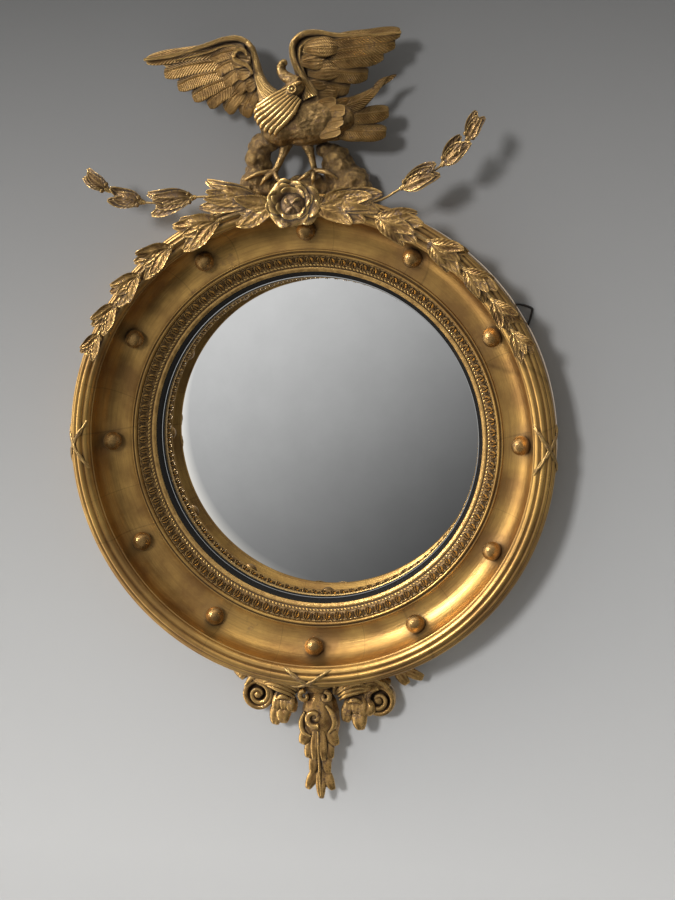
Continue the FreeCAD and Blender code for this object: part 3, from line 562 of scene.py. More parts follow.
def acanthus_blank(name: str = "acanthus_blank") -> Blank:
    """A fleshy acanthus lobe that swells, is hollowed beside its rib and rolls over at its broad tip."""
    return Blank(name, (0.55, 0.70, 0.84, 0.95, 1.0, 0.98, 0.86, 0.56),
                 (0.0, 0.24, 0.10, 0.30, 0.10, 0.24, 0.0),
                 (0.0, 0.14, 0.26, 0.38, 0.50, 0.54, 0.42, 0.10), thickness=0.26).work()


def tongue_blank(name: str = "tongue_blank") -> Blank:
    """A lobe of burnished leaf, full across, that narrows and rolls over at its tip."""
    return Blank(name, (0.62, 0.82, 1.0, 1.04, 0.94, 0.74, 0.34),
                 (-0.20, 0.08, 0.24, 0.10, 0.24, 0.08, -0.20),
                 (0.0, 0.14, 0.30, 0.46, 0.54, 0.44, 0.06), thickness=0.30).work()


# ------------------------------------------------------------------------------------------ materials
class Sheet:
    """A small hand for laying shader nodes in a tree."""

    def __init__(self, tree: bpy.types.NodeTree) -> None:
        """Starts on a tree."""
        self.tree = tree

    def node(self, kind: str, **settings: object) -> bpy.types.Node:
        """Adds a node.

        Args:
            kind: its bl_idname.
            **settings: its properties, apart from sockets.

        Returns:
            The node.
        """
        node = self.tree.nodes.new(kind)
        for key, value in settings.items():
            setattr(node, key, value)
        return node

    def feed(self, socket: bpy.types.NodeSocket, source: object) -> None:
        """Links an output to a socket, or sets the socket's value.

        Args:
            socket: the input to feed.
            source: an output or a value.
        """
        if isinstance(source, bpy.types.NodeSocket):
            self.tree.links.new(source, socket)
        else:
            socket.default_value = source

    def place(self) -> bpy.types.NodeSocket:
        """Returns each point's place in the piece's own space."""
        return self.node("ShaderNodeTexCoord").outputs["Object"]

    def axes(self, vector: bpy.types.NodeSocket) -> Sequence[bpy.types.NodeSocket]:
        """Splits a vector.

        Args:
            vector: the vector.

        Returns:
            Its X, Y and Z.
        """
        split = self.node("ShaderNodeSeparateXYZ")
        self.feed(split.inputs[0], vector)
        return split.outputs

    def reach(self, axes: Sequence[bpy.types.NodeSocket]) -> bpy.types.NodeSocket:
        """Returns a point's distance from the mirror's axis, from its X, Y and Z."""
        across, up = self.sums("POWER", axes[0], 2.0), self.sums("POWER", axes[2], 2.0)
        return self.sums("SQRT", self.plus(across, up))

    def noise(self, place: bpy.types.NodeSocket, scale: object, detail: float = 4.0,
              roughness: float = 0.55) -> bpy.types.NodeSocket:
        """Lays an uneven pattern over the surface.

        Args:
            place: where each point lies.
            scale: size of the pattern, per metre.
            detail: how many finer patterns lie on it.
            roughness: how strong the finer ones are.

        Returns:
            The pattern, 0 to 1.
        """
        node = self.node("ShaderNodeTexNoise")
        self.feed(node.inputs["Vector"], place)
        self.feed(node.inputs["Scale"], scale)
        node.inputs["Detail"].default_value = detail
        node.inputs["Roughness"].default_value = roughness
        return node.outputs["Fac"]

    def sums(self, operation: str, first: object, second: object = 0.0,
             clamp: bool = False) -> bpy.types.NodeSocket:
        """Does one step of arithmetic.

        Args:
            operation: its name on the Math node.
            first: an output or a number.
            second: another, where the operation takes two.
            clamp: True to keep the result within 0 and 1.

        Returns:
            The result.
        """
        node = self.node("ShaderNodeMath", operation=operation, use_clamp=clamp)
        self.feed(node.inputs[0], first)
        self.feed(node.inputs[1], second)
        return node.outputs[0]

    def plus(self, first: object, second: object, clamp: bool = False) -> bpy.types.NodeSocket:
        """Returns the sum of two values."""
        return self.sums("ADD", first, second, clamp)

    def minus(self, first: object, second: object, clamp: bool = False) -> bpy.types.NodeSocket:
        """Returns the first value less the second."""
        return self.sums("SUBTRACT", first, second, clamp)

    def times(self, first: object, second: object, clamp: bool = False) -> bpy.types.NodeSocket:
        """Returns the product of two values."""
        return self.sums("MULTIPLY", first, second, clamp)

    def spread(self, value: bpy.types.NodeSocket, low: object, high: object, bottom: float = 0.0,
               top: float = 1.0) -> bpy.types.NodeSocket:
        """Spreads a value over a new range and keeps it there.

        Args:
            value: the value.
            low: what becomes the bottom.
            high: what becomes the top.
            bottom: the new range's bottom.
            top: its top.

        Returns:
            The spread value.
        """
        node = self.node("ShaderNodeMapRange", clamp=True)
        for label, source in (("Value", value), ("From Min", low), ("From Max", high), ("To Min", bottom),
                              ("To Max", top)):
            self.feed(node.inputs[label], source)
        return node.outputs["Result"]

    def mix(self, share: object, first: object, second: object) -> bpy.types.NodeSocket:
        """Mixes two colours.

        Args:
            share: how much of the second.
            first: an output or a colour.
            second: another.

        Returns:
            The mixture.
        """
        node = self.node("ShaderNodeMix", data_type="RGBA")
        self.feed(node.inputs["Factor"], share)
        colours = [socket for socket in node.inputs if socket.type == "RGBA"]
        for socket, source in zip(colours, (first, second)):
            self.feed(socket, (*source, 1.0) if isinstance(source, tuple) and len(source) == 3 else source)
        return [socket for socket in node.outputs if socket.type == "RGBA"][0]

    def bump(self, height: bpy.types.NodeSocket, depth: float, strength: float,
             over: bpy.types.NodeSocket | None = None) -> bpy.types.NodeSocket:
        """Bends the normal by a height.

        Args:
            height: the height, 0 to 1.
            depth: what a height of 1 stands for, in metres.
            strength: how much of it shows.
            over: an earlier normal to bend further, if there is one.

        Returns:
            The normal.
        """
        node = self.node("ShaderNodeBump")
        node.inputs["Strength"].default_value = strength
        node.inputs["Distance"].default_value = depth
        self.feed(node.inputs["Height"], height)
        if over is not None:
            self.feed(node.inputs["Normal"], over)
        return node.outputs["Normal"]


def shader_group(name: str, inputs: dict[str, float],
                 outputs: Sequence[str]) -> tuple[bpy.types.NodeTree, Sheet]:
    """Starts a node group with number inputs and outputs.

    Args:
        name: the group's name.
        inputs: each input's name and its usual value.
        outputs: the names of its outputs.

    Returns:
        The group and a hand for laying its nodes.
    """
    tree = bpy.data.node_groups.new(name, "ShaderNodeTree")
    for label, value in inputs.items():
        tree.interface.new_socket(label, in_out="INPUT", socket_type="NodeSocketFloat").default_value = value
    for label in outputs:
        tree.interface.new_socket(label, in_out="OUTPUT", socket_type="NodeSocketFloat")
    return tree, Sheet(tree)


def leafing_group() -> bpy.types.NodeTree:
    """Gold leaf's wear and lay, with painted light: where it is rubbed to the bole, where grime and painted
    shade lie in the hollows, and its uneven lay.

    Returns:
        The group, with outputs Rubbed, GrimeAndShade, Tone, Height and Edge; GrimeAndShade is grime with
        painted shade in the hollows, and Edge marks the raised edges that take painted highlight.
    """
    tree, hand = shader_group("leaf_wear_and_painted_light", {"Scale": 60.0, "Wear": 0.5, "GrimeAndShade": 0.5, "Reach": 0.012},
                              ("Rubbed", "GrimeAndShade", "Tone", "Height", "Edge"))
    given = hand.node("NodeGroupInput").outputs
    place = hand.place()
    point = hand.node("ShaderNodeNewGeometry").outputs["Pointiness"]
    broad = hand.noise(place, given["Scale"], 5.0, 0.6)
    fine = hand.noise(place, hand.times(given["Scale"], 7.0), 4.0, 0.65)
    hollow = hand.spread(point, 0.50, 0.40)
    # Ambient occlusion and the hollow mask darken recesses and creases: painted shade, added to uneven dirt.
    shade = hand.node("ShaderNodeAmbientOcclusion", samples=4)
    hand.feed(shade.inputs["Distance"], given["Reach"])
    deep = hand.spread(shade.outputs["AO"], 0.92, 0.35)
    rub = hand.plus(hand.times(broad, 0.8), hand.times(fine, 0.6))
    limit = hand.minus(1.02, hand.times(given["Wear"], 0.5))
    dirt = hand.plus(deep, hand.times(hollow, 0.5))
    dirt = hand.plus(dirt, hand.times(hand.minus(broad, 0.5), 0.8))
    result = hand.node("NodeGroupOutput").inputs
    hand.feed(result["Edge"], hand.spread(point, 0.50, 0.60))
    hand.feed(result["Rubbed"], hand.spread(hand.minus(rub, limit), -0.06, 0.10))
    hand.feed(result["GrimeAndShade"], hand.times(dirt, given["GrimeAndShade"], clamp=True))
    hand.feed(result["Tone"], broad)
    hand.feed(result["Height"], hand.plus(broad, hand.times(fine, 0.5)))
    return tree


def ribbing_group() -> bpy.types.NodeTree:
    """Fine lines that slant away from a middle rib, as barbs on a feather or veins on a leaf.

    Returns:
        The group, with output Height; it reads the piece's own UV map, V along the rib.
    """
    tree, hand = shader_group("slanted_ribs", {"Count": 18.0, "Slant": 3.0}, ("Height",))
    given = hand.node("NodeGroupInput").outputs
    across, along, _ = hand.axes(hand.node("ShaderNodeTexCoord").outputs["UV"])
    away = hand.sums("ABSOLUTE", hand.minus(across, 0.5))
    run = hand.minus(hand.times(along, given["Count"]), hand.times(away, hand.times(given["Slant"], 4.0)))
    wave = hand.times(hand.sums("SINE", hand.times(run, 2 * math.pi)), hand.spread(away, 0.02, 0.10))
    rib = hand.times(hand.spread(away, 0.0, 0.05, 1.0, 0.0), 1.6)
    hand.feed(hand.node("NodeGroupOutput").inputs["Height"], hand.plus(wave, rib))
    return tree


def turning_group() -> bpy.types.NodeTree:
    """Marks that run round the mirror's axis, and cracks that run across them.

    Returns:
        The group, with outputs Streaks and Cracks.
    """
    tree, hand = shader_group("turned_marks", {"Scale": 420.0}, ("Streaks", "Cracks"))
    given = hand.node("NodeGroupInput").outputs
    axes = hand.axes(hand.place())
    turn, reach = hand.sums("ARCTAN2", axes[0], axes[2]), hand.reach(axes)
    round_it = hand.node("ShaderNodeCombineXYZ")
    for socket, source in zip(round_it.inputs, (hand.times(turn, 0.012), reach, axes[1])):
        hand.feed(socket, source)
    across_it = hand.node("ShaderNodeCombineXYZ")
    for socket, source, stretch in zip(across_it.inputs, (turn, reach, axes[1]), (0.28, 0.12, 0.12)):
        hand.feed(socket, hand.times(source, stretch))
    cells = hand.node("ShaderNodeTexVoronoi", feature="DISTANCE_TO_EDGE")
    hand.feed(cells.inputs["Vector"], across_it.outputs[0])
    cells.inputs["Scale"].default_value = 6.0
    result = hand.node("NodeGroupOutput").inputs
    hand.feed(result["Streaks"], hand.noise(round_it.outputs[0], given["Scale"], 4.0, 0.6))
    hand.feed(result["Cracks"], hand.spread(cells.outputs["Distance"], 0.0, 0.004, 1.0, 0.0))
    return tree


@dataclass(frozen=True)
class Marks:
    """The shader groups that every gilt finish shares.

    Attributes:
        leafing: wear, tone and grime of the leaf, with painted shade in the hollows and a mask for painted
            highlight on raised edges.
        ribbing: barbs or veins that slant from a rib.
        turning: marks round the mirror's axis.
    """

    leafing: bpy.types.NodeTree
    ribbing: bpy.types.NodeTree
    turning: bpy.types.NodeTree


class Carving(Enum):
    """What is cut into a gilt surface beyond its modelled form."""

    PLAIN = "plain"
    TURNED = "turned"
    BARBS = "barbs"
    VEINS = "veins"
    PLUMAGE = "plumage"
    ROCK = "rock"


# Brighter gold laid on raised edges: painted highlight, on leaf that is also burnished.
BURNISHED_HIGHLIGHT: Colour = (0.92, 0.60, 0.21)
# How many ribs a leaf has along its length, how they slant and how deep they are, in metres.
RIBS = {Carving.BARBS: (22.0, 1.8, 0.0014), Carving.VEINS: (7.0, 0.9, 0.0002)}


@dataclass(frozen=True)
class Gilding:
    """Worn gold leaf over bole on carved wood or composition, with painted shade in its hollows and painted
    highlight on its raised edges.

    Attributes:
        name: the material's name.
        gold: colour of whole leaf.
        shade: colour of toned or thin leaf.
        bole: colour where the leaf is rubbed through.
        grime_and_shade_colour: colour of grime and painted shade in the hollows.
        scale: size of the patches, per metre.
        wear: how much is rubbed through, 0 to 1.
        dirt: how dark the hollows are with grime and painted shade, 0 to 1.
        roughness: of whole leaf.
        metal: how metallic whole leaf is.
        reach: how far the occlusion reaches that paints shade and grime into hollows, in metres.
        burnish: how much brighter the raised edges are, 0 to 1: painted highlight; they are also made
            smoother, as burnished leaf is.
        carving: what is cut into the surface.
    """

    name: str
    gold: Colour = (0.86, 0.54, 0.17)
    shade: Colour = (0.46, 0.26, 0.085)
    bole: Colour = (0.105, 0.052, 0.022)
    grime_and_shade_colour: Colour = (0.045, 0.026, 0.014)
    scale: float = 45.0
    wear: float = 0.40
    dirt: float = 0.85
    roughness: float = 0.36
    metal: float = 0.88
    reach: float = 0.012
    burnish: float = 0.6
    carving: Carving = Carving.PLAIN

    def make(self, marks: Marks) -> bpy.types.Material:
        """Builds the material.

        Args:
            marks: the shared groups.

        Returns:
            The material.
        """
        material, hand, shader = blank_material(self.name)
        life = hand.node("ShaderNodeGroup", node_tree=marks.leafing)
        for label, value in (("Scale", self.scale), ("Wear", self.wear), ("GrimeAndShade", self.dirt),
                             ("Reach", self.reach)):
            life.inputs[label].default_value = value
        rubbed, grime_and_shade_mask = life.outputs["Rubbed"], life.outputs["GrimeAndShade"]
        # Raised edges turn a brighter gold, which is painted highlight, and smoother, as burnished leaf is.
        polish_and_highlight = hand.times(life.outputs["Edge"], self.burnish)
        colour = hand.mix(hand.spread(life.outputs["Tone"], 0.38, 0.62), self.shade, self.gold)
        colour = hand.mix(polish_and_highlight, colour, BURNISHED_HIGHLIGHT)
        if self.carving is Carving.TURNED:
            lathe = hand.node("ShaderNodeGroup", node_tree=marks.turning).outputs
            colour = hand.mix(hand.spread(lathe["Streaks"], 0.42, 0.72, 0.0, 0.55), colour, self.shade)
            colour = hand.mix(hand.times(lathe["Cracks"], 0.35), colour, self.grime_and_shade_colour)
        colour = hand.mix(rubbed, colour, self.bole)
        # Grime and painted shade darken the hollows.
        colour = hand.mix(grime_and_shade_mask, colour, self.grime_and_shade_colour)
        whole = hand.minus(1.0, hand.sums("MAXIMUM", rubbed, hand.times(grime_and_shade_mask, 0.8)), clamp=True)
        rough = hand.spread(life.outputs["Tone"], 0.3, 0.7, self.roughness + 0.10, self.roughness - 0.06)
        rough = hand.plus(rough, hand.times(hand.minus(1.0, whole), 0.35), clamp=True)
        rough = hand.minus(rough, hand.times(polish_and_highlight, 0.12), clamp=True)
        hand.feed(shader.inputs["Base Color"], colour)
        hand.feed(shader.inputs["Metallic"], hand.times(whole, self.metal))
        hand.feed(shader.inputs["Roughness"], rough)
        normal = hand.bump(life.outputs["Height"], 0.0012, 0.5)
        hand.feed(shader.inputs["Normal"], self.cut(hand, marks, normal))
        return material

    def cut(self, hand: Sheet, marks: Marks, normal: bpy.types.NodeSocket) -> bpy.types.NodeSocket:
        """Adds the carved detail to the normal.

        Args:
            hand: the material's nodes.
            marks: the shared groups.
            normal: the normal so far.

        Returns:
            The normal with the detail.
        """
        place = hand.place()
        if self.carving in RIBS:
            count, slant, depth = RIBS[self.carving]
            ribs = hand.node("ShaderNodeGroup", node_tree=marks.ribbing)
            ribs.inputs["Count"].default_value = count
            ribs.inputs["Slant"].default_value = slant
            return hand.bump(ribs.outputs["Height"], depth, 0.8, normal)
        if self.carving is Carving.TURNED:
            lathe = hand.node("ShaderNodeGroup", node_tree=marks.turning)
            return hand.bump(lathe.outputs["Streaks"], 0.0006, 0.5, normal)
        if self.carving is Carving.PLUMAGE:
            lean = hand.node("ShaderNodeMapping")
            lean.inputs["Rotation"].default_value = (0, math.radians(-12), 0)
            lean.inputs["Scale"].default_value = (0.55, 0.55, 1.0)
            hand.feed(lean.inputs["Vector"], place)
            cells = hand.node("ShaderNodeTexVoronoi", feature="F1")
            hand.feed(cells.inputs["Vector"], lean.outputs["Vector"])
            cells.inputs["Scale"].default_value = 200.0
            scales = hand.bump(cells.outputs["Distance"], 0.0014, 0.8, normal)
            return hand.bump(hand.noise(lean.outputs["Vector"], 650.0, 3.0, 0.6), 0.0012, 0.8, scales)
        if self.carving is Carving.ROCK:
            return hand.bump(hand.noise(place, 110.0, 7.0, 0.75), 0.006, 0.9, normal)
        return normal


def blank_material(name: str) -> tuple[bpy.types.Material, Sheet, bpy.types.Node]:
    """Starts a material.

    Args:
        name: the material's name.

    Returns:
        The material, a hand for its nodes, and its Principled shader.
    """
    material = bpy.data.materials.new(name)
    material.use_nodes = True
    hand = Sheet(material.node_tree)
    return material, hand, material.node_tree.nodes["Principled BSDF"]


@dataclass(frozen=True)
class OldWood:
    """Bare old timber, with grain along one axis and patches of dust.

    Attributes:
        name: the material's name.
        pale: colour between the grain lines.
        dark: colour of the grain.
        stretch: scale of the grain along X, Y and Z; the smallest is its run.
        scale: size of the grain, per metre.
    """

    name: str
    pale: Colour
    dark: Colour
    stretch: Triple = (1.0, 1.0, 0.08)
    scale: float = 90.0

    def make(self) -> bpy.types.Material:
        """Builds the material.

        Returns:
            The material.
        """
        material, hand, shader = blank_material(self.name)
        place = hand.place()
        stretched = hand.node("ShaderNodeMapping")
        stretched.inputs["Scale"].default_value = self.stretch
        hand.feed(stretched.inputs["Vector"], place)
        grain = hand.noise(stretched.outputs["Vector"], self.scale, 8.0, 0.62)
        patches = hand.noise(place, 9.0, 3.0)
        colour = hand.mix(hand.spread(grain, 0.32, 0.66), self.dark, self.pale)
        dusk = tuple(c * 0.5 for c in self.dark)
        colour = hand.mix(hand.spread(patches, 0.40, 0.75, 0.0, 0.45), colour, dusk)
        hand.feed(shader.inputs["Base Color"], colour)
        hand.feed(shader.inputs["Roughness"], hand.spread(grain, 0.3, 0.7, 0.82, 0.66))
        hand.feed(shader.inputs["Normal"], hand.bump(grain, 0.0006, 0.5))
        return material


@dataclass(frozen=True)
class Iron:
    """Forged iron, blacked, with rust blooming in patches.

    Attributes:
        name: the material's name.
        black: colour of whole black.
        rust: colour of the rust.
        bloom: how much rust shows, 0 to 0.5.
    """

    name: str
    black: Colour = (0.020, 0.019, 0.018)
    rust: Colour = (0.12, 0.045, 0.02)
    bloom: float = 0.25

    def make(self) -> bpy.types.Material:
        """Builds the material.

        Returns:
            The material.
        """
        material, hand, shader = blank_material(self.name)
        place = hand.place()
        patches = hand.noise(place, 160.0, 6.0, 0.65)
        pits = hand.noise(place, 700.0, 3.0)
        colour = hand.mix(hand.spread(patches, 0.55, 0.72, 0.0, self.bloom * 2), self.black, self.rust)
        hand.feed(shader.inputs["Base Color"], colour)
        hand.feed(shader.inputs["Roughness"], hand.spread(patches, 0.35, 0.7, 0.42, 0.75))
        hand.feed(shader.inputs["Metallic"], hand.spread(patches, 0.5, 0.7, 0.6, 0.15))
        hand.feed(shader.inputs["Normal"], hand.bump(pits, 0.0004, 0.5))
        return material


@dataclass(frozen=True)
class Ebony:
    """Ebonised beech, polished, its grain just felt and rubbed brown in patches.

    Attributes:
        name: the material's name.
    """

    name: str = "ebonised_beech"

    def make(self) -> bpy.types.Material:
        """Builds the material.

        Returns:
            The material.
        """
        material, hand, shader = blank_material(self.name)
        place = hand.place()
        grain = hand.noise(place, 260.0, 6.0, 0.6)
        rubs = hand.noise(place, 30.0, 5.0, 0.7)
        colour = hand.mix(hand.spread(rubs, 0.60, 0.74, 0.0, 0.6), (0.012, 0.011, 0.010), (0.06, 0.035, 0.02))
        hand.feed(shader.inputs["Base Color"], colour)
        hand.feed(shader.inputs["Roughness"], hand.spread(grain, 0.3, 0.7, 0.50, 0.66))
        shader.inputs["Specular IOR Level"].default_value = 0.10
        hand.feed(shader.inputs["Normal"], hand.bump(grain, 0.0003, 0.4))
        return material


@dataclass(frozen=True)
class Silvering:
    """Old silvered glass: clean in the middle, with grey foxing that gathers at the rim.

    Attributes:
        name: the material's name.
        sight: radius of the glass that shows, in metres.
    """

    name: str = "silvered_glass"
    sight: float = 0.223

    def make(self) -> bpy.types.Material:
        """Builds the material.

        Returns:
            The material.
        """
        material, hand, shader = blank_material(self.name)
        place = hand.place()
        rim = hand.spread(hand.reach(hand.axes(place)), self.sight * 0.80, self.sight * 1.01)
        spots = hand.noise(place, 210.0, 6.0, 0.7)
        clouds = hand.noise(place, 16.0, 4.0, 0.6)
        mark = hand.spread(hand.plus(hand.times(rim, 0.16), spots), 0.78, 0.86, 0.0, 0.7)
        colour = hand.mix(hand.spread(clouds, 0.35, 0.70), (0.80, 0.805, 0.80), (0.85, 0.855, 0.85))
        colour = hand.mix(mark, colour, (0.20, 0.19, 0.17))
        hand.feed(shader.inputs["Base Color"], colour)
        hand.feed(shader.inputs["Metallic"], hand.spread(mark, 0.0, 1.0, 1.0, 0.7))
        shader.inputs["Roughness"].default_value = 0.0
        return material


class Finishes:
    """Every finish of the mirror, each built once."""

    def __init__(self) -> None:
        """Builds the groups and the materials."""
        marks = Marks(leafing_group(), ribbing_group(), turning_group())

        def gilt(name: str, gold: Colour, shade: Colour, **values: object) -> bpy.types.Material:
            """Builds one gilt finish; values are those of its other fields that aren't the usual ones."""
            return Gilding(f"gilt_{name}", gold, shade, **values).make(marks)

        self.cove = gilt("cove", (0.68, 0.405, 0.115), (0.33, 0.18, 0.06), scale=13.0, wear=0.20, dirt=0.8,
                         roughness=0.30, metal=0.92, reach=0.02, burnish=0.5, carving=Carving.TURNED)
        self.band = gilt("band", (0.74, 0.45, 0.15), (0.36, 0.20, 0.07), scale=120.0, wear=0.30, dirt=1.2,
                         roughness=0.30, reach=0.004, burnish=0.8)
        self.balls = gilt("balls", (0.36, 0.195, 0.065), (0.11, 0.05, 0.022), scale=120.0, wear=0.40,
                          dirt=1.0, roughness=0.24, bole=(0.085, 0.038, 0.018))
        self.trim = gilt("trim", (0.20, 0.12, 0.05), (0.08, 0.045, 0.02), scale=120.0, wear=0.55, dirt=1.2,
                         reach=0.005)
        self.laurel = gilt("laurel", (0.60, 0.36, 0.11), (0.15, 0.08, 0.028), scale=50.0, wear=0.50,
                           dirt=1.6, roughness=0.28, reach=0.012, burnish=0.45, carving=Carving.VEINS)
        self.sprays = gilt("sprays", (0.32, 0.19, 0.075), (0.08, 0.045, 0.02), scale=75.0, wear=0.50,
                           dirt=1.2, roughness=0.30, reach=0.012, burnish=0.6, bole=(0.07, 0.04, 0.025),
                           carving=Carving.VEINS)
        self.wire = gilt("wire", (0.26, 0.17, 0.08), (0.10, 0.065, 0.035), scale=90.0, dirt=1.0)
        self.feathers = gilt("feathers", (0.54, 0.33, 0.12), (0.19, 0.11, 0.042), scale=40.0, wear=0.40,
                             dirt=1.4, roughness=0.30, reach=0.010, burnish=0.5, carving=Carving.BARBS)
        self.eagle = gilt("eagle", (0.34, 0.21, 0.08), (0.13, 0.08, 0.033), scale=60.0, wear=0.45,
                          dirt=1.25, roughness=0.32, reach=0.009, burnish=0.9, carving=Carving.PLUMAGE)
        self.plumes = gilt("plumes", (0.62, 0.39, 0.15), (0.34, 0.20, 0.075), scale=70.0, wear=0.25,
                           dirt=1.3, roughness=0.26, reach=0.006)
        self.rock = gilt("rock", (0.32, 0.20, 0.08), (0.11, 0.065, 0.028), scale=38.0, wear=0.40, dirt=1.25,
                         roughness=0.36, metal=0.80, reach=0.010, burnish=0.8, carving=Carving.ROCK)
        self.rose = gilt("rose", (0.34, 0.20, 0.075), (0.09, 0.05, 0.022), scale=60.0, wear=0.50, dirt=1.25,
                         roughness=0.28, reach=0.010, burnish=0.9)
        self.bud = gilt("bud", (0.22, 0.135, 0.065), (0.06, 0.04, 0.025), scale=90.0, wear=0.55, dirt=1.1,
                        roughness=0.24, reach=0.008, burnish=0.8)
        self.carving = gilt("carving", (0.72, 0.42, 0.13), (0.20, 0.10, 0.035), scale=50.0, wear=0.50,
                            dirt=1.5, roughness=0.22, reach=0.012, burnish=0.8)
        self.ebony = Ebony().make()
        self.glass = Silvering().make()
        self.pine = OldWood("old_pine", (0.42, 0.27, 0.14), (0.20, 0.11, 0.055)).make()
        self.oak = OldWood("old_oak", (0.24, 0.15, 0.08), (0.10, 0.06, 0.032), scale=130.0).make()
        self.iron = Iron("blacked_iron").make()
        self.nail = Iron("nail_iron", (0.07, 0.055, 0.05), bloom=0.45).make()


# ------------------------------------------------------------------------------------------ the frame
@dataclass
class Mouldings:
    """The turned ring: fillets, cove and reeds, with the back's beds for hangers and battens.

    Attributes:
        finish: its gilding.
        cove_centre: middle of the cove's arc, as radius and height.
        cove_radius: radius of that arc.
        gores: steps round the ring.
    """

    finish: bpy.types.Material
    cove_centre: Pair = (266.0, 73.5)
    cove_radius: float = 34.0
    gores: int = 288

    def outline(self) -> list[Pair]:
        """Draws the ring's section, from the rebate behind the glass round to the back.

        Returns:
            Its points, as radius and height.
        """
        middle, height = self.cove_centre
        cove = [(middle + self.cove_radius * math.sin(math.radians(a)),
                 height - self.cove_radius * math.cos(math.radians(a))) for a in range(-12, 91, 6)]
        points: list[Pair] = [(240.5, 0), (240.5, 5), (233.5, 5), (233.5, 14), (236.2, 14), (236.2, 20)]
        points += [(250.3, 33), (250.3, 41.4)]
        points += bulge((250.5, 42.0), (254.0, 43.4), 1.3, 6)
        points += [(254.5, 41.0), (255.3, 40.6)]
        points += bulge((255.6, 42.0), (258.3, 41.4), 1.2, 5)
        points += [(258.5, 40.4)] + cove
        points += [(300, 84.5), (301.2, 85.2)]
        points += bulge((301.4, 87), (308.6, 95.4), 2.8, 8)
        points += [(309.2, 94.0), (310.0, 93.8)]
        for start, end, rise in (((310.4, 94.8), (318.4, 94.6), 3.2), ((318.8, 94.0), (323.6, 90.4), 2.8),
                                 ((323.8, 89.9), (326.8, 85.4), 2.6), ((326.8, 84.9), (326.2, 78.2), 3.0)):
            points += bulge(start, end, rise, 8)
        return points + [(326.2, 78), (326, 60), (326, 0)]

    def build(self) -> None:
        """Turns the ring, cuts the beds into its back and sets it in place."""
        ring = turned("frame_mouldings", self.outline(), self.gores)
        beds = []
        for side in (-1, 1):
            lean = math.radians(HANGER_LEAN)
            along = Vector((side * math.cos(lean), 0, math.sin(lean)))
            middle = at(side * HANGER_PIN[0], HANGER_PIN[1], PIN_HEIGHT) + along * (6 * MM)
            beds.append(self.bed(middle, (30, 7, 108), side * math.degrees(math.pi / 2 - lean)))
            beds.append(self.bed(at(side * 64, 312, 5.5), (24.4, 13.4, 88.4), 0))
        beds.append(self.bed(at(0, -336, 5.5), (30.4, 13.4, 136.4), 0))
        cutter = joined(beds, "beds")
        take(ring)
        cut = ring.modifiers.new("beds", "BOOLEAN")
        cut.operation, cut.object, cut.solver = "DIFFERENCE", cutter, "EXACT"
        bpy.ops.object.modifier_apply(modifier=cut.name)
        bpy.data.objects.remove(cutter)
        smooth(ring, 32)
        mount(ring, self.finish, "gilt_frame", "frame_ring")

    @staticmethod
    def bed(middle: Vector, size: Triple, turn: float) -> bpy.types.Object:
        """Cuts the block whose shape a bed in the back takes.

        Args:
            middle: the bed's middle.
            size: its sizes along X, Y and Z, in millimetres.
            turn: its lean on the front view, in degrees.

        Returns:
            The block.
        """
        clear_hands()
        bpy.ops.mesh.primitive_cube_add(size=MM, location=middle, rotation=(0, math.radians(turn), 0),
                                        scale=size)
        block = named("bed")
        rest_at_origin(block)
        return block


@dataclass
class LeafBand:
    """The sloping band of upright leaf tips and a fine rope, between the fillets and the slip.

    Attributes:
        finish: its gilding.
        leaves: how many leaves stand round it, with a dart between each two.
        strands: how many strands the rope shows.
        slope: the band's slope off the wall, in degrees.
        foot: radius at which the slope would meet the wall.
    """

    finish: bpy.types.Material
    leaves: int = 104
    strands: int = 300
    slope: float = 44.0
    foot: float = 211.0

    def build(self) -> None:
        """Turns the band's ground and sets the leaves, the darts and the rope round it."""
        outline = [(228.7, 20), (228.7, 22.0), (229.4, 22.8), *bulge((229.6, 22.9), (234.0, 24.9), 0.5, 4),
                   (234.3, 24.4), (234.9, 23.4), (248.6, 36.9), *bulge((248.6, 37.0), (250.3, 37.4), 0.7, 5),
                   (250.3, 33), (236.2, 20)]
        ground = turned("leaf_band_ground", outline, 192)
        tip = Blank("band_leaf_blank", (0.50, 0.86, 1.0, 0.96, 0.74, 0.30),
                    (-0.06, 0.26, 0.02, 0.32, 0.02, 0.26, -0.06), (0.0, 0.05, 0.09, 0.12, 0.15, 0.10),
                    thickness=0.3, rounding=0).work()
        relief = []
        face = Vector((-math.sin(math.radians(self.slope)), -math.cos(math.radians(self.slope)), 0))
        for row, (near, far, width) in enumerate(((240.4, 248.8, 11.0), (241.0, 249.6, 3.6))):
            for i in range(self.leaves):
                leaf = tip.lay(at(near, 0, near - self.foot), at(far, 0, far - self.foot), face, width)
                relief.append(turn_round(leaf, math.radians(360 * (i + 0.5 * row) / self.leaves)))
        clear_hands()
        bpy.ops.mesh.primitive_uv_sphere_add(segments=6, ring_count=4, radius=1.0,
                                             location=at(237.4, 0, 26.8),
                                             rotation=(math.radians(40), 0, math.radians(45)),
                                             scale=(1.1 * MM, 1.5 * MM, 2.6 * MM))
        strand = named("rope_blank")
        rest_at_origin(strand)
        for i in range(self.strands):
            relief.append(turn_round(copy_of(strand), 2 * math.pi * i / self.strands))
        bpy.data.objects.remove(strand)
        tip.put_away()
        assembled([ground, *relief], "leaf_band_carved", 38, self.finish, "gilt_band", "leaf_band")


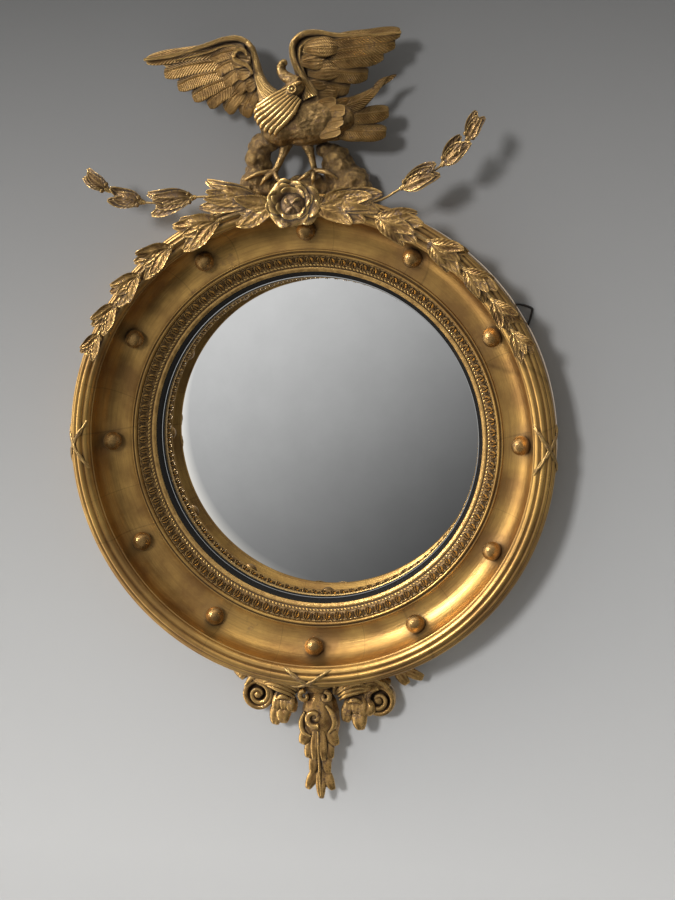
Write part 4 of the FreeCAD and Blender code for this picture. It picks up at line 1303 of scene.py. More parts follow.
@dataclass
class SlipAndGlass:
    """The ebonised slip and the convex glass that it frames.

    Attributes:
        ebony: the slip's finish.
        glass: the silvering.
        bulge: how far the glass stands proud of its edge, in millimetres.
        flat: radius of its curved part.
    """

    ebony: bpy.types.Material
    glass: bpy.types.Material
    bulge: float = 48.0
    flat: float = 222.0

    def curve(self, steps: int, foot: float) -> list[Pair]:
        """Draws one side of the glass from its middle outwards.

        Args:
            steps: how many steps it takes.
            foot: height of its edge from the wall.

        Returns:
            Its points, as radius and height.
        """
        radius = (self.flat ** 2 + self.bulge ** 2) / (2 * self.bulge)
        reaches = [self.flat * i / steps for i in range(steps + 1)]
        return [(reach, foot + self.bulge - radius + math.sqrt(radius ** 2 - reach ** 2))
                for reach in reaches]

    def build(self) -> None:
        """Turns both."""
        section = [(223.1, 14), (223.1, 15.2), *bulge((223.3, 15.6), (228.4, 19.8), 0.5, 5), (228.7, 20),
                   (236.2, 20), (236.2, 14)]
        slip = turned("slip_polished", section, 256)
        smooth(slip, 35)
        mount(slip, self.ebony, "ebonised", "ebonised_slip")
        outline = [*self.curve(40, 14), (232.5, 14), (232.5, 11), *reversed(self.curve(8, 11))]
        plate = turned("mirror_plate_silvered", outline, 256, ring=False)
        smooth(plate, 5)
        mount(plate, self.glass, "mirror_glass", "mirror_plate")


@dataclass
class CoveBalls:
    """Twelve turned balls set in the cove, each on a short neck.

    Attributes:
        finish: their gilding.
        count: how many there are.
        radius: of each, in millimetres.
        seat: where their middles lie, as radius and height.
    """

    finish: bpy.types.Material
    count: int = 12
    radius: float = 13.0
    seat: Pair = (281.9, 53.0)

    def build(self) -> None:
        """Works one ball and sets its copies round the cove."""
        centre = at(0, *self.seat)
        ball = lump("ball_blank", centre, (self.radius, self.radius, self.radius))
        roughen(ball, "ball_marks", 7.0, 0.5)
        root = centre - Vector((0, -0.82, -0.57)).normalized() * (11.5 * MM)
        neck = limb("ball_neck", [centre, root], [6.2, 7.4], sides=5)
        work = joined([ball, neck], "ball_worked")
        smooth(work, 60)
        for i in range(self.count):
            copy = copy_of(work)
            copy.name = f"cove_ball_{i + 1}"
            turn_round(copy, math.radians(360 * i / self.count))
            mount(copy, self.finish, "gilt_balls", "frame_balls")
        bpy.data.objects.remove(work)


@dataclass
class RibbonTies:
    """Crossed ribbons that bind the reeds at three places.

    Attributes:
        finish: their gilding.
        reach: how far a strip runs to each side along the rim, in millimetres.
        width: of each strip.
        route: a strip's way over the reeds, as radius and height.
    """

    finish: bpy.types.Material
    reach: float = 30.0
    width: float = 7.5
    route: Sequence[Pair] = ((303.5, 92.4), (307.0, 96.4), (311.0, 97.4), (314.5, 98.6), (318.5, 97.6),
                             (321.5, 95.6), (325.0, 92.4), (327.6, 88.4), (329.6, 84.0), (330.2, 79.0),
                             (328.6, 74.0))

    def build(self) -> None:
        """Lays the two crossing strips of each tie, each of two twisted strands."""
        last = len(self.route) - 1
        for word, angle in (("left", -90.0), ("right", 90.0), ("bottom", 180.0)):
            strips = []
            for sign, strand in ((-1, -1), (-1, 1), (1, -1), (1, 1)):
                path = []
                for i, (radius, height) in enumerate(self.route):
                    twist = strand * math.cos(i * math.pi / 2.2)
                    shift = sign * self.reach * (1 - 2 * i / last) + twist * self.width * 0.3
                    path.append(ring_at(radius - shift ** 2 / (2 * radius), angle, height + 0.5 * twist)
                                + ring_at(shift, angle + 90, 0))
                strips.append(limb(f"ribbon_{sign}", path, [self.width / 4] * len(path), sides=2, steps=3))
            tie = joined(strips, f"ribbon_tie_{word}_wrapped")
            roughen(tie, f"ribbon_marks_{word}", 4.0, 1.2)
            smooth(tie, 60)
            mount(tie, self.finish, "gilt_trim", f"ribbon_tie_{word}")


# ------------------------------------------------------------------------------------------ laurel
@dataclass
class Laurel:
    """Laurel on wire: a garland down each side of the rim and a loose spray above it.

    Attributes:
        leaf_finish: gilding of the garlands.
        spray_finish: of the sprays, apart from their first sprigs.
        wire_finish: of the wires.
        crown: height of the garlands' seat from the wall, in millimetres.
        rim: radius of the garlands' wires.
        starts: where clusters are bound, in degrees from the top, and where the last one points.
        lengths: of each cluster's leaves, from the top down.
        widths: of each cluster's leaves.
    """

    leaf_finish: bpy.types.Material
    spray_finish: bpy.types.Material
    wire_finish: bpy.types.Material
    crown: float = CROWN
    rim: float = 314.5
    starts: Sequence[float] = (4.5, 19.0, 32.5, 43.0, 52.5, 61.0, 68.0)
    lengths: Sequence[float] = (64, 62, 54, 48, 44, 38)
    widths: Sequence[float] = (25, 24, 21.5, 19, 17, 14.5)

    def build(self) -> None:
        """Lays every cluster on its wire."""
        self.blanks = [lance_blank("laurel_straight", 0.0), lance_blank("laurel_lifted", 0.35),
                       lance_blank("laurel_dropped", -0.30)]
        self.chance = random.Random(7)
        for side, word in ((-1, "left"), (1, "right")):
            self.garland(side, word)
        left = [(-30, 316), (-47, 320), (-90, 326), (-136, 327), (-172, 322), (-205, 322), (-230, 328),
                (-251, 338), (-272, 354)]
        right = [(30, 316), (47, 319), (76, 317), (104, 316), (136, 331), (164, 344), (188, 358), (219, 386),
                 (232, 408)]
        self.spray("left", left, (1, 3, 5, 7), (80, 62, 42, 38))
        self.spray("right", right, (1, 4, 6, 7), (60, 50, 42, 35))
        for blank in self.blanks:
            blank.put_away()

    def cluster(self, name: str, start: Vector, ahead: Vector, length: float, width: float,
                splays: Sequence[float], lift: float = 4.0) -> bpy.types.Object:
        """Binds leaves and berries round the wire.

        Args:
            name: the cluster's name.
            start: where it is bound, in metres.
            ahead: the next point of the wire.
            length: of its longest leaf, in millimetres.
            width: of its widest leaf, in millimetres.
            splays: turn of each leaf off the wire, in degrees.
            lift: how far the tips stand off, in millimetres.

        Returns:
            The cluster.
        """
        along = (ahead - start).normalized()
        across = along.cross(OUT).normalized()
        parts = []
        for order, splay in enumerate(splays):
            turn = math.radians(splay + self.chance.uniform(-3, 3))
            way = along * math.cos(turn) + across * math.sin(turn)
            root = start + along * (2.5 * MM) + OUT * ((0.4 + 0.5 * order) * MM)
            reach = length * (1.0 if order < 2 else 0.84) * self.chance.uniform(0.94, 1.03)
            tip = root + way * (reach * MM) + OUT * ((lift * (0.5 + 0.35 * order)) * MM)
            face = (OUT + across * (-0.35 * math.sin(turn) * 2)).normalized()
            blank = self.blanks[self.chance.randrange(len(self.blanks))]
            parts.append(blank.lay(root, tip, face, width * (1.0 if order < 2 else 0.82), 0.9))
        stem = [start + along * (reach * MM) for reach in (-2, 5, 12)]
        parts.append(limb("calyx", stem, [2.4, 4.6, 2.4], steps=3))
        for sign in (-1, 1):
            place = start + along * (7 * MM) + across * (sign * 5.2 * MM) + OUT * (4.0 * MM)
            parts.append(lump("berry", place, (3.1, 3.1, 3.1)))
        piece = joined(parts, name)
        smooth(piece, 50)
        return piece

    def garland(self, side: int, word: str) -> None:
        """Lays one side's garland on the crown of the reeds.

        Args:
            side: -1 at the left, 1 at the right.
            word: the side's name.
        """
        path = [ring_at(self.rim, side * angle, self.crown + 1.5) for angle in range(6, 70, 4)]
        wire = limb(f"garland_wire_{word}_drawn", path, [1.5] * len(path), sides=2)
        mount(wire, self.wire_finish, "gilt_wire", f"garland_wire_{word}", mirrored=False)
        for i, start in enumerate(self.starts[:-1]):
            here = ring_at(self.rim, side * start, self.crown + 2)
            ahead = ring_at(self.rim, side * self.starts[i + 1], self.crown + 2)
            splays = [side * turn for turn in (9, -19, -5, 18, -28)]
            piece = self.cluster(f"garland_{word}_{i + 1}", here, ahead, self.lengths[i], self.widths[i],
                                 splays)
            mount(piece, self.leaf_finish, "gilt_laurel", f"garland_leaves_{word}", mirrored=False)

    def spray(self, word: str, route: Sequence[Pair], knots: Sequence[int], lengths: Sequence[float]) -> None:
        """Lays one loose spray, from the rose outwards.

        Args:
            word: its side.
            route: the wire's points on the front view.
            knots: the points where clusters are bound.
            lengths: of each cluster's leaves, in millimetres.
        """
        heights = [self.crown] * 3 + [self.crown + 1.5 * i for i in range(1, len(route) - 2)]
        path = [at(x, z, height + 1.5) for (x, z), height in zip(route, heights)]
        wire = limb(f"spray_wire_{word}_drawn", path, [1.5] * len(path), sides=2)
        mount(wire, self.wire_finish, "gilt_wire", f"spray_wire_{word}", mirrored=False)
        for order, (knot, length) in enumerate(zip(knots, lengths)):
            width = (23, 21, 19, 16)[order]
            piece = self.cluster(f"spray_{word}_sprig_{order + 1}", path[knot], path[knot + 1], length, width,
                                 (-12, 11, 1, -5, 8))
            finish = self.leaf_finish if order == 0 else self.spray_finish
            mount(piece, finish, "gilt_laurel", f"spray_{word}_cluster_{order + 1}", mirrored=False)


@dataclass
class Rose:
    """The open rose that hides where the laurel wires meet.

    Attributes:
        petals_finish: the petals' gilding.
        bud_finish: the bud's gilding.
        centre: its middle on the front view, in millimetres.
    """

    petals_finish: bpy.types.Material
    bud_finish: bpy.types.Material
    centre: Pair = (0.0, 316.0)

    def build(self) -> None:
        """Lays three rounds of petals and closes the bud in their middle."""
        blank, chance = petal_blank(), random.Random(3)
        petals = []
        middle = at(*self.centre, 99)
        rounds = ((8, 41, 34, 24, 0.1), (7, 35, 27, 42, 0.55), (5, 29, 21, 26, 0.2))
        for count, reach, width, rise, shift in rounds:
            for i in range(count):
                turn = 2 * math.pi * (i + shift) / count + chance.uniform(-0.12, 0.12)
                far = reach * chance.uniform(0.88, 1.06)
                way = Vector((math.cos(turn), 0, math.sin(turn) * 0.80))
                root = middle + way * (5 * MM) + OUT * (rise * 0.1 * MM)
                tip = root + way * ((far - 5) * MM) + OUT * (rise * chance.uniform(0.30, 0.50) * MM)
                petals.append(blank.lay(root, tip, (OUT + way * chance.uniform(-0.2, 0.3)).normalized(),
                                        width * chance.uniform(0.85, 1.1), 0.55))
        blank.put_away()
        heart = lump("rose_heart", middle + OUT * (6 * MM), (24, 9, 20))
        assembled([*petals, heart], "crest_rose_open", 60, self.petals_finish, "gilt_carving",
                  "crest_rosette", mirrored=False)
        forms = [lump("crest_rose_bud", at(2, 312, 118.5), (19.0, 17.0, 17.0))]
        for start in (0.3, 1.9, 3.5, 5.1):
            fold = [at(2 + wide * math.cos(start + turn), 312 + high * math.sin(start + turn), height)
                    for wide, high, turn, height in ((15, 14, 0, 122), (10, 9, 0.6, 132), (2, 2, 1.4, 135))]
            forms.append(limb("bud_fold", fold, [3.0, 3.4, 1.2]))
        bud = carved_from(forms, "crest_rose_bud", 0.9, 3)
        mount(bud, self.bud_finish, "gilt_carving", "crest_rosette", mirrored=False)


# ------------------------------------------------------------------------------------------ rockwork, eagle
@dataclass
class Rockwork:
    """The pierced rock that the eagle stands on.

    Attributes:
        finish: its gilding.
        height: of its middle from the wall, in millimetres.
    """

    finish: bpy.types.Material
    height: float = 40.0

    def build(self) -> None:
        """Piles lumps along both piers and the foot, and works them into one."""
        chance = random.Random(11)
        runs = (((-66, 334, 19), (-68, 346, 19), (-67, 358, 19), (-65, 371, 14), (-64, 384, 18),
                 (-60, 397, 18), (-44, 402, 13), (-34, 398, 8)),
                ((58, 334, 22), (56, 346, 24), (46, 358, 25), (42, 369, 22), (34, 380, 15), (18, 389, 9)),
                ((-84, 336, 9), (-66, 338, 14), (-40, 338, 14), (-14, 341, 15), (12, 340, 15), (38, 337, 14),
                 (62, 336, 15), (82, 338, 10)))
        lumps = []
        for run in runs:
            for (x, z, half), (x2, z2, half2) in zip(run, run[1:]):
                for share in (0.0, 0.5):
                    here = (x + (x2 - x) * share, z + (z2 - z) * share)
                    wide = half + (half2 - half) * share
                    depth = 22 + chance.uniform(-5, 3)
                    place = at(here[0] + chance.uniform(-2, 2), here[1] + chance.uniform(-2, 2),
                               self.height + chance.uniform(-3, 3))
                    size = (wide * chance.uniform(0.85, 1.1), depth, wide * chance.uniform(0.7, 1.0))
                    lumps.append(lump("rock", place, size, chance.uniform(-30, 30)))
        rock = carved_from(lumps, "rockwork_carved", 1.7, 2)
        roughen(rock, "rock_lumps", 16.0, 7.0)
        roughen(rock, "rock_marks", 6.0, 2.2)
        finish_with(rock, "SMOOTH", factor=0.5, iterations=2)
        mount(rock, self.finish, "gilt_rock", "rockwork")


@dataclass(frozen=True)
class WingPlan:
    """How one wing of the eagle is laid out on the front view.

    Attributes:
        arm: the rolled edge's way from the shoulder to the tip.
        radii: its radius at each point, in millimetres.
        second: the way of the thinner roll beside it.
        second_radii: that roll's radii.
        flesh: outline of the web under the feathers.
        rows: of feathers, each as (blank's name, feathers, height over the wing's, lift).
        swirl: the way of the curl at the shoulder, if it has one.
    """

    arm: Sequence[Pair]
    radii: Sequence[float]
    second: Sequence[Pair]
    second_radii: Sequence[float]
    flesh: Sequence[Pair]
    rows: Sequence[tuple[str, Sequence[tuple[Pair, Pair, float]], float, float]]
    swirl: Sequence[Pair] = ()


WINGS = {
    "left": WingPlan(
        arm=((-20, 436), (-36, 452), (-48, 466), (-56, 484), (-59, 502), (-64, 517), (-76, 527), (-94, 529),
             (-124, 522), (-166, 512), (-210, 508)),
        radii=(14, 12, 8.5, 5.4, 4.2, 3.8, 3.8, 3.6, 3.3, 3.0, 2.0),
        second=((-46, 462), (-60, 482), (-66, 500), (-74, 514), (-92, 520), (-124, 513), (-168, 505)),
        second_radii=(1.6, 1.9, 1.9, 1.9, 1.9, 1.7, 1.0),
        flesh=((-24, 438), (-51, 484), (-57, 504), (-62, 520), (-78, 530), (-98, 530), (-150, 517),
               (-196, 509), (-166, 484), (-128, 460), (-96, 450), (-62, 440)),
        rows=(("blunt", (((-96, 515), (-215, 510), 22), ((-98, 502), (-190, 493), 27),
                         ((-98, 490), (-172, 476), 28), ((-92, 480), (-152, 461), 29),
                         ((-84, 474), (-132, 451), 29), ((-74, 470), (-108, 441), 30),
                         ((-62, 464), (-84, 433), 28), ((-48, 458), (-62, 430), 26)), 4, 0.8),
              ("blunt", (((-70, 516), (-124, 507), 22), ((-68, 507), (-119, 490), 24),
                         ((-64, 497), (-108, 475), 25), ((-58, 485), (-93, 463), 25),
                         ((-48, 470), (-74, 448), 24)), 8, 0.7),
              ("shell", (((-62, 500), (-90, 505), 30), ((-60, 487), (-85, 486), 27),
                         ((-55, 475), (-74, 467), 24)), 11, 0.6)),
        swirl=((-60, 482), (-66, 492), (-76, 497), (-84, 504), (-80, 512), (-70, 511), (-68, 504))),
    "right": WingPlan(
        arm=((14, 448), (8, 462), (2, 476), (-4, 490), (-9, 505), (-8, 519), (3, 529), (22, 531), (44, 527),
             (72, 524), (102, 524), (132, 526)),
        radii=(12, 8.5, 6.2, 4.8, 4.2, 4.0, 4.0, 3.8, 3.4, 3.0, 2.6, 1.8),
        second=((10, 470), (3, 490), (0, 506), (6, 518), (22, 524), (44, 521)),
        second_radii=(1.8, 2.2, 2.2, 2.2, 2.0, 1.2),
        flesh=((8, 450), (-4, 490), (-9, 510), (-6, 522), (6, 532), (60, 526), (74, 512), (62, 484),
               (48, 462), (36, 448)),
        rows=(("blunt", (((34, 518), (135, 525), 25), ((32, 505), (128, 512), 26),
                         ((30, 494), (112, 499), 28), ((28, 482), (90, 475), 28),
                         ((24, 468), (64, 458), 27)), 5, 0.95),
              ("shell", (((4, 512), (52, 512), 30), ((0, 496), (36, 498), 32), ((8, 482), (54, 484), 30),
                         ((8, 470), (38, 470), 27), ((14, 458), (50, 456), 24)), 10, 0.6)))}


@dataclass
class Eagle:
    """The spread eagle: body, plumes, head, wings, tail and legs.

    Attributes:
        body: finish of the trunk and the legs.
        feather: finish of wings, coat and tail.
        plume: finish of the neck's plumes.
        height: of the trunk's middle from the wall, in millimetres.
        wing_height: of the wings' middle.
    """

    body: bpy.types.Material
    feather: bpy.types.Material
    plume: bpy.types.Material
    height: float = 66.0
    wing_height: float = 62.0

    def build(self) -> None:
        """Carves every part of the bird."""
        quill = (-0.10, 0.03, 0.08, 0.10, 0.20, 0.10, 0.08, 0.03, -0.10)
        breadth = (0.60, 0.84, 0.98, 1.0, 0.96, 0.88, 0.76, 0.62, 0.46, 0.30, 0.16, 0.03)
        swept = Blank("feather_swept", breadth, quill,
                      (0.0, 0.06, 0.11, 0.15, 0.18, 0.19, 0.18, 0.15, 0.11, 0.08, 0.06, 0.06),
                      (0.0, 0.10, 0.19, 0.25, 0.28, 0.27, 0.23, 0.16, 0.06, -0.06, -0.20, -0.36),
                      thickness=0.22)
        self.blanks = {"blunt": feather_blank("feather_blunt", 1.0),
                       "lean": feather_blank("feather_lean", 0.25), "shell": shell_blank(),
                       "swept": swept.work()}
        self.trunk()
        self.neck_plumes()
        for side, plan in WINGS.items():
            self.wing(side, plan)
        self.tail()
        self.legs()
        for blank in self.blanks.values():
            blank.put_away()

    def trunk(self) -> None:
        """Carves the trunk, the neck thrown back and the head, and lays the coat of small feathers."""
        h = self.height
        forms = [lump("trunk", at(6, 421, h), (56, 24, 31), -2),
                 lump("breast", at(-28, 417, h + 3), (26, 25, 27)),
                 lump("rump", at(44, 423, h - 3), (28, 18, 21)),
                 lump("head", at(-3, 461, h + 17), (13, 12, 11), -30)]
        for name, way, radii in (
                ("neck", ((-36, 420, 10), (-24, 438, 12), (-11, 453, 13), (-3, 464, 15)), [20, 18, 15, 11]),
                ("shoulder_left", ((-34, 430, -2), (-44, 450, -2), (-52, 470, -2)), [18, 14, 10]),
                ("shoulder_right", ((18, 436, -2), (14, 456, -2), (4, 474, -2)), [17, 13, 9]),
                ("beak", ((0, 468, 18), (-10, 473, 18), (-18, 479, 18), (-21, 487, 18), (-17, 494, 18),
                          (-13, 491, 18)), [9, 7.6, 6.8, 6.0, 4.4, 2.0])):
            forms.append(limb(name, [at(x, z, h + rise) for x, z, rise in way], radii))
        trunk = carved_from(forms, "eagle_trunk", 1.3, 5)
        roughen(trunk, "trunk_marks", 8.0, 1.6)
        mount(trunk, self.body, "gilt_eagle", "eagle_body")
        coat = self.row("lean", (((56, 408), (26, 401), 17), ((60, 420), (26, 414), 18),
                                 ((62, 432), (32, 430), 18), ((50, 443), (22, 441), 16)),
                        h + 17.0, 0.35, -1.0)
        assembled(coat, "eagle_body_feathers", 60, self.feather, "gilt_eagle", "eagle_body")

    def neck_plumes(self) -> None:
        """Lays the bright fluted plumes of the neck and breast, and the ringed eye."""
        h = self.height
        plumes = []
        ends = ((-51, 440, 90), (-53, 434, 93), (-52, 427, 95), (-49, 421, 96), (-45, 415, 96),
                (-40, 411, 95), (-34, 408, 94), (-28, 406, 92))
        for i, (x, z, height) in enumerate(ends):
            share = i / (len(ends) - 1)
            start = at(-12 + 17 * share, 462 - 16 * share, h + 23)
            bend = at(-33 + 30 * share, 450 - 20 * share, h + 29 + 2 * math.sin(math.pi * share))
            low = at(x, z, height)
            curl = at(x - 3.5 + 2 * share, z - 4.5, height - 5)
            path = [start, start.lerp(bend, 0.55), bend, bend.lerp(low, 0.6), low, curl]
            plumes.append(limb(f"plume_{i}", path, [1.4, 2.4, 3.2, 3.5, 3.3, 1.2], steps=5))
        eye = [limb("eye_ring", [at(-4 + 4.9 * math.cos(t), 459 + 4.6 * math.sin(t), h + 31.0)
                                 for t in (0, 1.05, 2.09, 3.14, 4.19, 5.24)], [1.2] * 6, loop=True),
               lump("eyeball", at(-4, 459, h + 28), (3.2, 4.2, 3.0)),
               lump("brow", at(0, 465, h + 27), (8.5, 5.0, 3.2), -20)]
        assembled([*plumes, *eye], "eagle_neck_plumes", 60, self.plume, "gilt_eagle", "eagle_body")

    def row(self, blank: str, feathers: Sequence[tuple[Pair, Pair, float]], height: float, lift: float,
            drop: float = 3.0) -> list[bpy.types.Object]:
        """Lays overlapping feathers, each with its own root, tip and width.

        Args:
            blank: which feather.
            feathers: (root, tip, width) of each, from the top of the wing down.
            height: of their roots from the wall.
            lift: how strongly their own relief shows.
            drop: how far the tips sink towards the wall.

        Returns:
            The feathers.
        """
        face = (OUT + Vector((0, 0, 0.16))).normalized()
        made = []
        for i, (root, tip, width) in enumerate(feathers):
            deep = height - 1.2 * i
            made.append(self.blanks[blank].lay(at(*root, deep), at(*tip, deep - drop), face, width, lift))
        return made

    @staticmethod
    def web(name: str, outline: Sequence[Pair], height: float, thickness: float) -> bpy.types.Object:
        """Cuts the flesh of a wing that carries the feathers.

        Args:
            name: the piece's name.
            outline: its edge on the front view.
            height: of its back from the wall.
            thickness: of the flesh.

        Returns:
            The web.
        """
        piece = edge_through(name, [at(*corner, height) for corner in outline])
        bpy.ops.mesh.edge_face_add()
        bpy.ops.mesh.extrude_region_move(TRANSFORM_OT_translate={"value": OUT * (thickness * MM)})
        bpy.ops.object.mode_set(mode="OBJECT")
        rest_at_origin(piece)
        close_up(piece)
        finish_with(piece, "BEVEL", width=0.0018, segments=2)
        return piece

    def wing(self, side: str, plan: WingPlan) -> None:
        """Builds one wing: a doubled rolled edge, the flesh behind it and the rows of feathers.

        Args:
            side: which wing.
            plan: how it is laid out.
        """
        h = self.wing_height
        parts = [limb("roll", [at(*point, h + 7) for point in plan.arm], plan.radii, flat=1.5),
                 limb("second_roll", [at(*point, h + 9) for point in plan.second], plan.second_radii)]
        if plan.swirl:
            parts.append(limb("swirl", [at(*point, h + 18) for point in plan.swirl],
                              [1.6, 2.6, 3.2, 3.2, 3.0, 2.6, 1.4]))
        parts.append(self.web("flesh", plan.flesh, h - 6, 7))
        for blank, feathers, rise, lift in plan.rows:
            parts += self.row(blank, feathers, h + rise, lift)
        assembled(parts, f"eagle_wing_{side}_feathered", 50, self.feather, "gilt_eagle", f"eagle_wing_{side}")

    def tail(self) -> None:
        """Lays the three tail feathers and the small feathers over their roots."""
        parts = self.row("blunt", [((44, 407), (113, 402), 27), ((44, 423), (117, 428), 27)], 62, 0.95, 2.0)
        parts += self.row("swept", [((42, 436), (118, 467), 25)], 62, 0.95, 2.0)
        parts += self.row("lean", [((30, 434), (68, 446), 18), ((32, 424), (74, 427), 19),
                                   ((32, 412), (70, 410), 18), ((22, 440), (52, 453), 15),
                                   ((26, 403), (58, 401), 16)], 68, 0.95)
        parts.append(limb("tail_root", [at(36, 423, 58), at(56, 424, 57), at(80, 426, 55)], [15, 14, 8],
                          flat=0.6))
        assembled(parts, "eagle_tail_feathered", 50, self.feather, "gilt_eagle", "eagle_tail")

    def legs(self) -> None:
        """Carves both legs with their toes over the rock."""
        plans = {"left": ((-20, 398), (-28, 378), (-38, 359),
                          (((-58, 357), (-78, 349)), ((-48, 351), (-57, 342)), ((-33, 350), (-26, 343)))),
                 "right": ((4, 398), (11, 378), (15, 359),
                           (((32, 356), (47, 347)), ((15, 349), (13, 341)), ((4, 352), (-6, 346))))}
        for word, (hip, knee, ankle, toes) in plans.items():
            forms = [limb("shank", [at(*hip, 62), at(*knee, 62), at(*ankle, 62)], [9.5, 4.8, 4.2])]
            for middle, tip in toes:
                forms.append(limb("toe", [at(*ankle, 62), at(*middle, 69), at(*tip, 66)], [3.8, 3.3, 1.5]))
            leg = carved_from(forms, f"eagle_leg_{word}_carved", 0.9, 3)
            roughen(leg, f"leg_marks_{word}", 5.0, 0.8)
            mount(leg, self.body, "gilt_eagle", f"eagle_leg_{word}")


# ------------------------------------------------------------------------------------------ the apron
@dataclass
class Apron:
    """The carved apron: two volutes, tufts and side leaves, and the acanthus drop.

    Attributes:
        finish: its gilding.
        low: height of the volutes' backs from the wall, in millimetres.
    """

    finish: bpy.types.Material
    low: float = 12.0

    def build(self) -> None:
        """Carves every part of the apron."""
        self.lobe = acanthus_blank()
        self.tongue = tongue_blank()
        self.block()
        for side, word in ((-1, "left"), (1, "right")):
            self.volute(side, word)
            self.tuft(side, word)
        self.drop()
        self.lobe.put_away()
        self.tongue.put_away()

    def block(self) -> None:
        """Carves the block on the batten, with its pair of small scrolls."""
        forms = [lump("block", at(0, -332, 28), (38, 15, 17)),
                 lump("block_foot", at(0, -346, 27), (24, 14, 13)),
                 lump("block_top", at(0, -322, 27), (34, 14, 10))]
        ground = carved_from(forms, "apron_block_ground", 1.4, 4)
        scrolls = [self.scroll(eye, 9.0, 0.9, side, 44, 4.0)
                   for eye, side in (((-17, -357), 1), ((12, -356), -1))]
        ribs = [limb("rib", [at(x * 1.3, -322, 38), at(x, -336, 43), at(x * 0.8, -352, 38)], [2.0, 3.4, 2.0])
                for x in (-30, 28)]
        self.set_on([ground, *scrolls, *ribs], "apron_block_carved", "apron_block")

    def set_on(self, parts: Sequence[bpy.types.Object], name: str, node: str, angle: float = 60) -> None:
        """Joins one part of the apron and sets it in place of its node.

        Args:
            parts: the worked forms.
            name: the part's name.
            node: the CAD node that it replaces.
            angle: edges sharper than this stay crisp, in degrees.
        """
        assembled(parts, name, angle, self.finish, "gilt_carving", node)

    @staticmethod
    def scroll(centre: Pair, radius: float, turns: float, side: int, height: float, thick: float,
               start: float = 90.0) -> bpy.types.Object:
        """Draws a rolled band that winds in to its eye.

        Args:
            centre: the eye, on the front view.
            radius: of the outer turn, in millimetres.
            turns: how often it winds round.
            side: 1 to wind counterclockwise as seen from the front, -1 the other way.
            height: of the band's crown from the wall.
            thick: the band's radius at its outer end.
            start: where the outer end stands, in degrees.

        Returns:
            The scroll.
        """
        steps = max(6, round(turns * 10))
        path, radii = [], []
        for i in range(steps + 1):
            share = i / steps
            turn = math.radians(start + side * 360 * turns * share)
            reach = radius * (1 - 0.80 * share ** 0.85)
            path.append(at(centre[0] + reach * math.cos(turn), centre[1] + reach * math.sin(turn),
                           height - 3 * share))
            radii.append(thick * (1 - 0.35 * share))
        return limb("scroll", path, radii, steps=3)

    def volute(self, side: int, word: str) -> None:
        """Turns the dished disc, winds the scroll on it and carves the arm that carries it.

        Args:
            side: -1 at the left, 1 at the right.
            word: the side's name.
        """
        centre = (side * 86.0, -359.5)
        section = [(0, 25), (9, 25), (13.5, 27), (15.5, 31), *bulge((15.8, 34), (22.6, 33), 4.6, 8),
                   (23.2, 29), (21.8, 18), (20, self.low), (0, self.low)]
        dish = turned("dish", section, 48, ring=False)
        dish.location = at(*centre, 0)
        rest_at_origin(dish)
        knob = lump("knob", at(centre[0] - 1, centre[1] - 1, 29), (7.2, 9, 7.0))
        scroll = self.scroll(centre, 18.5, 1.3, side, 35.5, 4.2)

        def drawn(name: str, points: Sequence[Triple], radii: Sequence[float]) -> bpy.types.Object:
            """Draws a limb on this side of the apron through points given for the right side."""
            return limb(name, [at(side * x, z, height) for x, z, height in points], radii)

        body = [drawn("arm", ((100, -340, 26), (82, -334, 29), (60, -337, 31), (40, -342, 30),
                              (22, -348, 28)), [9, 14, 17, 16, 10]),
                drawn("arm_top", ((74, -337, 27), (64, -318, 27)), [11, 13])]
        arm = carved_from(body, "arm_ground", 1.6, 3)
        top = drawn("arm_roll", ((104, -347, 36), (92, -333, 40), (74, -326, 42), (52, -328, 42),
                                 (34, -337, 40)), [2.5, 4.4, 4.8, 4.2, 2.4])
        flutes = [drawn("flute", ((76 - 3 * i, -338 - 3 * i, 42), (62 - 2 * i, -334 - 6 * i, 46),
                                  (44 - i, -340 - 6 * i, 45), (30 + i, -350 - 5 * i, 39)),
                        [1.8, 3.4, 3.4, 1.8]) for i in range(3)]
        roughen(knob, f"knob_marks_{word}", 6.0, 1.6)
        self.set_on([dish, knob, scroll, arm, top, *flutes], f"apron_scroll_{word}_carved",
                    f"apron_scroll_{word}", 55)

    def tuft(self, side: int, word: str) -> None:
        """Lays the acanthus tuft beside the volute and the side leaves behind it.

        Args:
            side: -1 at the left, 1 at the right.
            word: the side's name.
        """
        x, tips = {-1: (-48, ((-35, -386), (-63, -405), (-49, -401))),
                   1: (54, ((38, -396), (80, -381), (62, -405)))}[side]
        leaves = [self.tongue.lay(at(x + 0.35 * (tip[0] - x), -358 - 2 * i, 30 + 2 * i),
                                  at(*tip, 33 + 3 * i), OUT, 24 + i, 0.55) for i, tip in enumerate(tips)]
        leaves += [self.tongue.lay(at(x + shift * 0.5, -350, 34), at(x + shift, -381 - 0.2 * abs(shift), 41),
                                   OUT, 18, 0.6) for shift in (-12, 1, 12)]
        leaves.append(limb("tuft_roll", [at(x - 9, -362, 42), at(x, -357, 46), at(x + 9, -362, 42)],
                           [2.4, 4.0, 2.4]))
        self.set_on(leaves, f"apron_tuft_{word}", f"apron_leaf_{word}")
        root, tips = {-1: ((-92, -312), ((-124, -338), (-118, -343))),
                      1: ((100, -308), ((127, -340), (150, -329)))}[side]
        leaves = [self.lobe.lay(at(*root, 20 + i), at(*tip, 20 + i), OUT, 17, 0.6)
                  for i, tip in enumerate(tips)]
        self.set_on(leaves, f"apron_side_sprig_{word}", f"apron_side_leaf_{word}")

